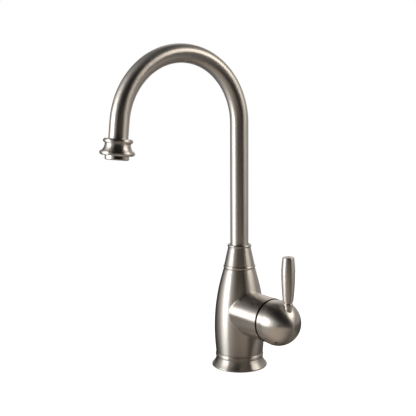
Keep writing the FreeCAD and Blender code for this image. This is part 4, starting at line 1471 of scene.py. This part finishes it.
@dataclass
class Studio:
    """A pale round table in a plain studio with soft lamps on both sides.

    Attributes:
        azimuth: Direction of the camera, from which the lights are placed.
        backdrop_sides: Bearings between which the white backdrop fades in, in degrees.
        backdrop_top: Heights between which it fades out, in degrees.
        table_radius: Radius of the table, in metres.
        table_sides: Sides of its outline.
        table_colour: Its colour.
        table_roughness: Its roughness.
        table_glow: How much it shines to the eye, where 1 is white.
        shade_reach: Distances from the faucet between which its painted shadow on the table, which
            only the metal shows, fades in, in metres.
        shade: How dark that painted shadow is, where 1 is black.
    """

    azimuth: float
    backdrop_sides: tuple[float, float] = (160.0, 172.0)
    backdrop_top: tuple[float, float] = (64.0, 40.0)
    table_radius: float = 0.43
    table_sides: int = 96
    table_colour: Colour = (0.8, 0.77, 0.74)
    table_roughness: float = 0.9
    table_glow: float = 0.85
    shade_reach: tuple[float, float] = (0.085, 0.053)
    shade: float = 0.65

    def direction(self, bearing: float) -> Vector:
        """Return the level direction at a bearing from the camera's, in degrees."""
        turn = math.radians(self.azimuth + bearing)
        return Vector((math.sin(turn), -math.cos(turn), 0.0))

    def build(self) -> None:
        """Make the world, the table and the lights."""
        bpy.context.scene.view_settings.view_transform = "Standard"
        self._world()
        self._table()
        for lamp in LAMPS:
            lamp.build(self.direction(lamp.bearing))

    def _bearing(self, nodes: Nodes, x: Any, y: Any) -> bpy.types.NodeSocket:
        """Return the direction of a place, in degrees to the right of the camera's."""
        turn = nodes.math("DEGREES", nodes.math("ARCTAN2", x, nodes.math("MULTIPLY", y, -1.0)))
        return nodes.math("WRAP", nodes.math("SUBTRACT", turn, self.azimuth), 180.0, -180.0)

    def _painted(self, nodes: Nodes, bearing: Any, height: Any, plain: Colour,
                 patches: Sequence[Patch]) -> Any:
        """Lay patches over a plain colour.

        Args:
            nodes: The tree.
            bearing: Degrees to the right of the camera's direction.
            height: Degrees above the horizon.
            plain: The colour between the patches.
            patches: The patches, each over the one before.

        Returns:
            The colour.
        """
        seen: Any = plain
        for patch in patches:
            mask = nodes.use(Zone().group(), {
                "Bearing": bearing, "Height": height,
                "Left": patch.sides[0], "Right": patch.sides[1], "Side Fade": patch.side_fade,
                "Low": patch.heights[0], "High": patch.heights[1], "Top Fade": patch.top_fade,
            })["Mask"]
            seen = nodes.blend(mask, seen, patch.colour)
        return seen

    def _world(self) -> None:
        """White to the eye; in the metal a white backdrop behind and a dim room in front."""
        world = bpy.data.worlds.new("studio")
        bpy.context.scene.world = world
        nodes = Nodes.emptied(world)
        x, y, z = nodes.parts(nodes.add("TexCoord").outputs["Generated"])
        bearing = self._bearing(nodes, x, y)
        height = nodes.math("DEGREES", nodes.math("ARCSINE", z))
        seen = self._painted(nodes, bearing, height, ROOM, ROOM_PATCHES)
        aside = nodes.math("ABSOLUTE", bearing)
        backdrop = nodes.math("MULTIPLY", nodes.remap(aside, *self.backdrop_sides, smooth=True),
                              nodes.remap(height, *self.backdrop_top, smooth=True))
        path = nodes.add("LightPath").outputs
        white = nodes.math("ADD", path["Is Camera Ray"], backdrop, clamp=True)
        background = nodes.add("Background", {"Color": nodes.blend(white, seen, WHITE)})
        nodes.add("OutputWorld", {"Surface": background.outputs[0]})

    def _table(self) -> None:
        """Make a round table: real shadow to the eye, painted light and shadow in the metal."""
        mesh = bpy.data.meshes.new("table")
        rim = [(self.table_radius * x, self.table_radius * y, 0.0)
               for x, y in circle(self.table_sides)]
        mesh.from_pydata(rim, [], [list(range(self.table_sides))])
        material = bpy.data.materials.new("table")
        nodes = Nodes.emptied(material)
        material.cycles.emission_sampling = "NONE"
        path = nodes.add("LightPath").outputs
        shader = nodes.add("BsdfPrincipled", {
            "Base Color": self.table_colour,
            "Roughness": self.table_roughness,
            "Emission Color": WHITE,
            "Emission Strength": nodes.math("MULTIPLY", path["Is Camera Ray"], self.table_glow),
        })
        place = nodes.place()
        x, y, _ = nodes.parts(place)
        # Painted light and shadow on the table by bearing, and a painted shadow round the faucet's
        # foot.
        painted_table_light = self._painted(nodes, self._bearing(nodes, x, y), 0.0, TABLE_PAINTED_LIGHT, TABLE_PAINTED_LIGHT_AND_SHADOW)
        reach = nodes.add("VectorMath", {0: place}, operation="LENGTH").outputs["Value"]
        near = nodes.remap(reach, *self.shade_reach, 0.0, self.shade, smooth=True)
        # For glossy and transmission rays the table glows with that painted light and shadow,
        # though it is no lamp.
        painted_table_glow = nodes.add("Emission", {"Color": nodes.blend(near, painted_table_light, BLACK)})
        both = nodes.math("ADD", path["Is Glossy Ray"], path["Is Transmission Ray"], clamp=True)
        choice = nodes.add("MixShader", {0: both, 1: shader.outputs[0], 2: painted_table_glow.outputs[0]})
        nodes.add("OutputMaterial", {"Surface": choice.outputs[0]})
        mesh.materials.append(material)
        linked("table", mesh)


def main() -> None:
    """Dress the faucet and set up its studio."""
    logging.basicConfig(level=logging.INFO, format="%(name)s %(message)s")
    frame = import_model()
    slots = {part["node"]: part["material_slot"] for part in frame["record"]["subparts"]}
    CadPieces(frame["nodes"], slots).dress()
    Base().build()
    Neck().build()
    gooseneck = Gooseneck()
    gooseneck.build()
    Outlet().build(gooseneck.outlet_frame())
    Lever().build()
    camera = Camera()
    camera.build()
    Studio(camera.azimuth).build()


if __name__ == "__main__":
    main()
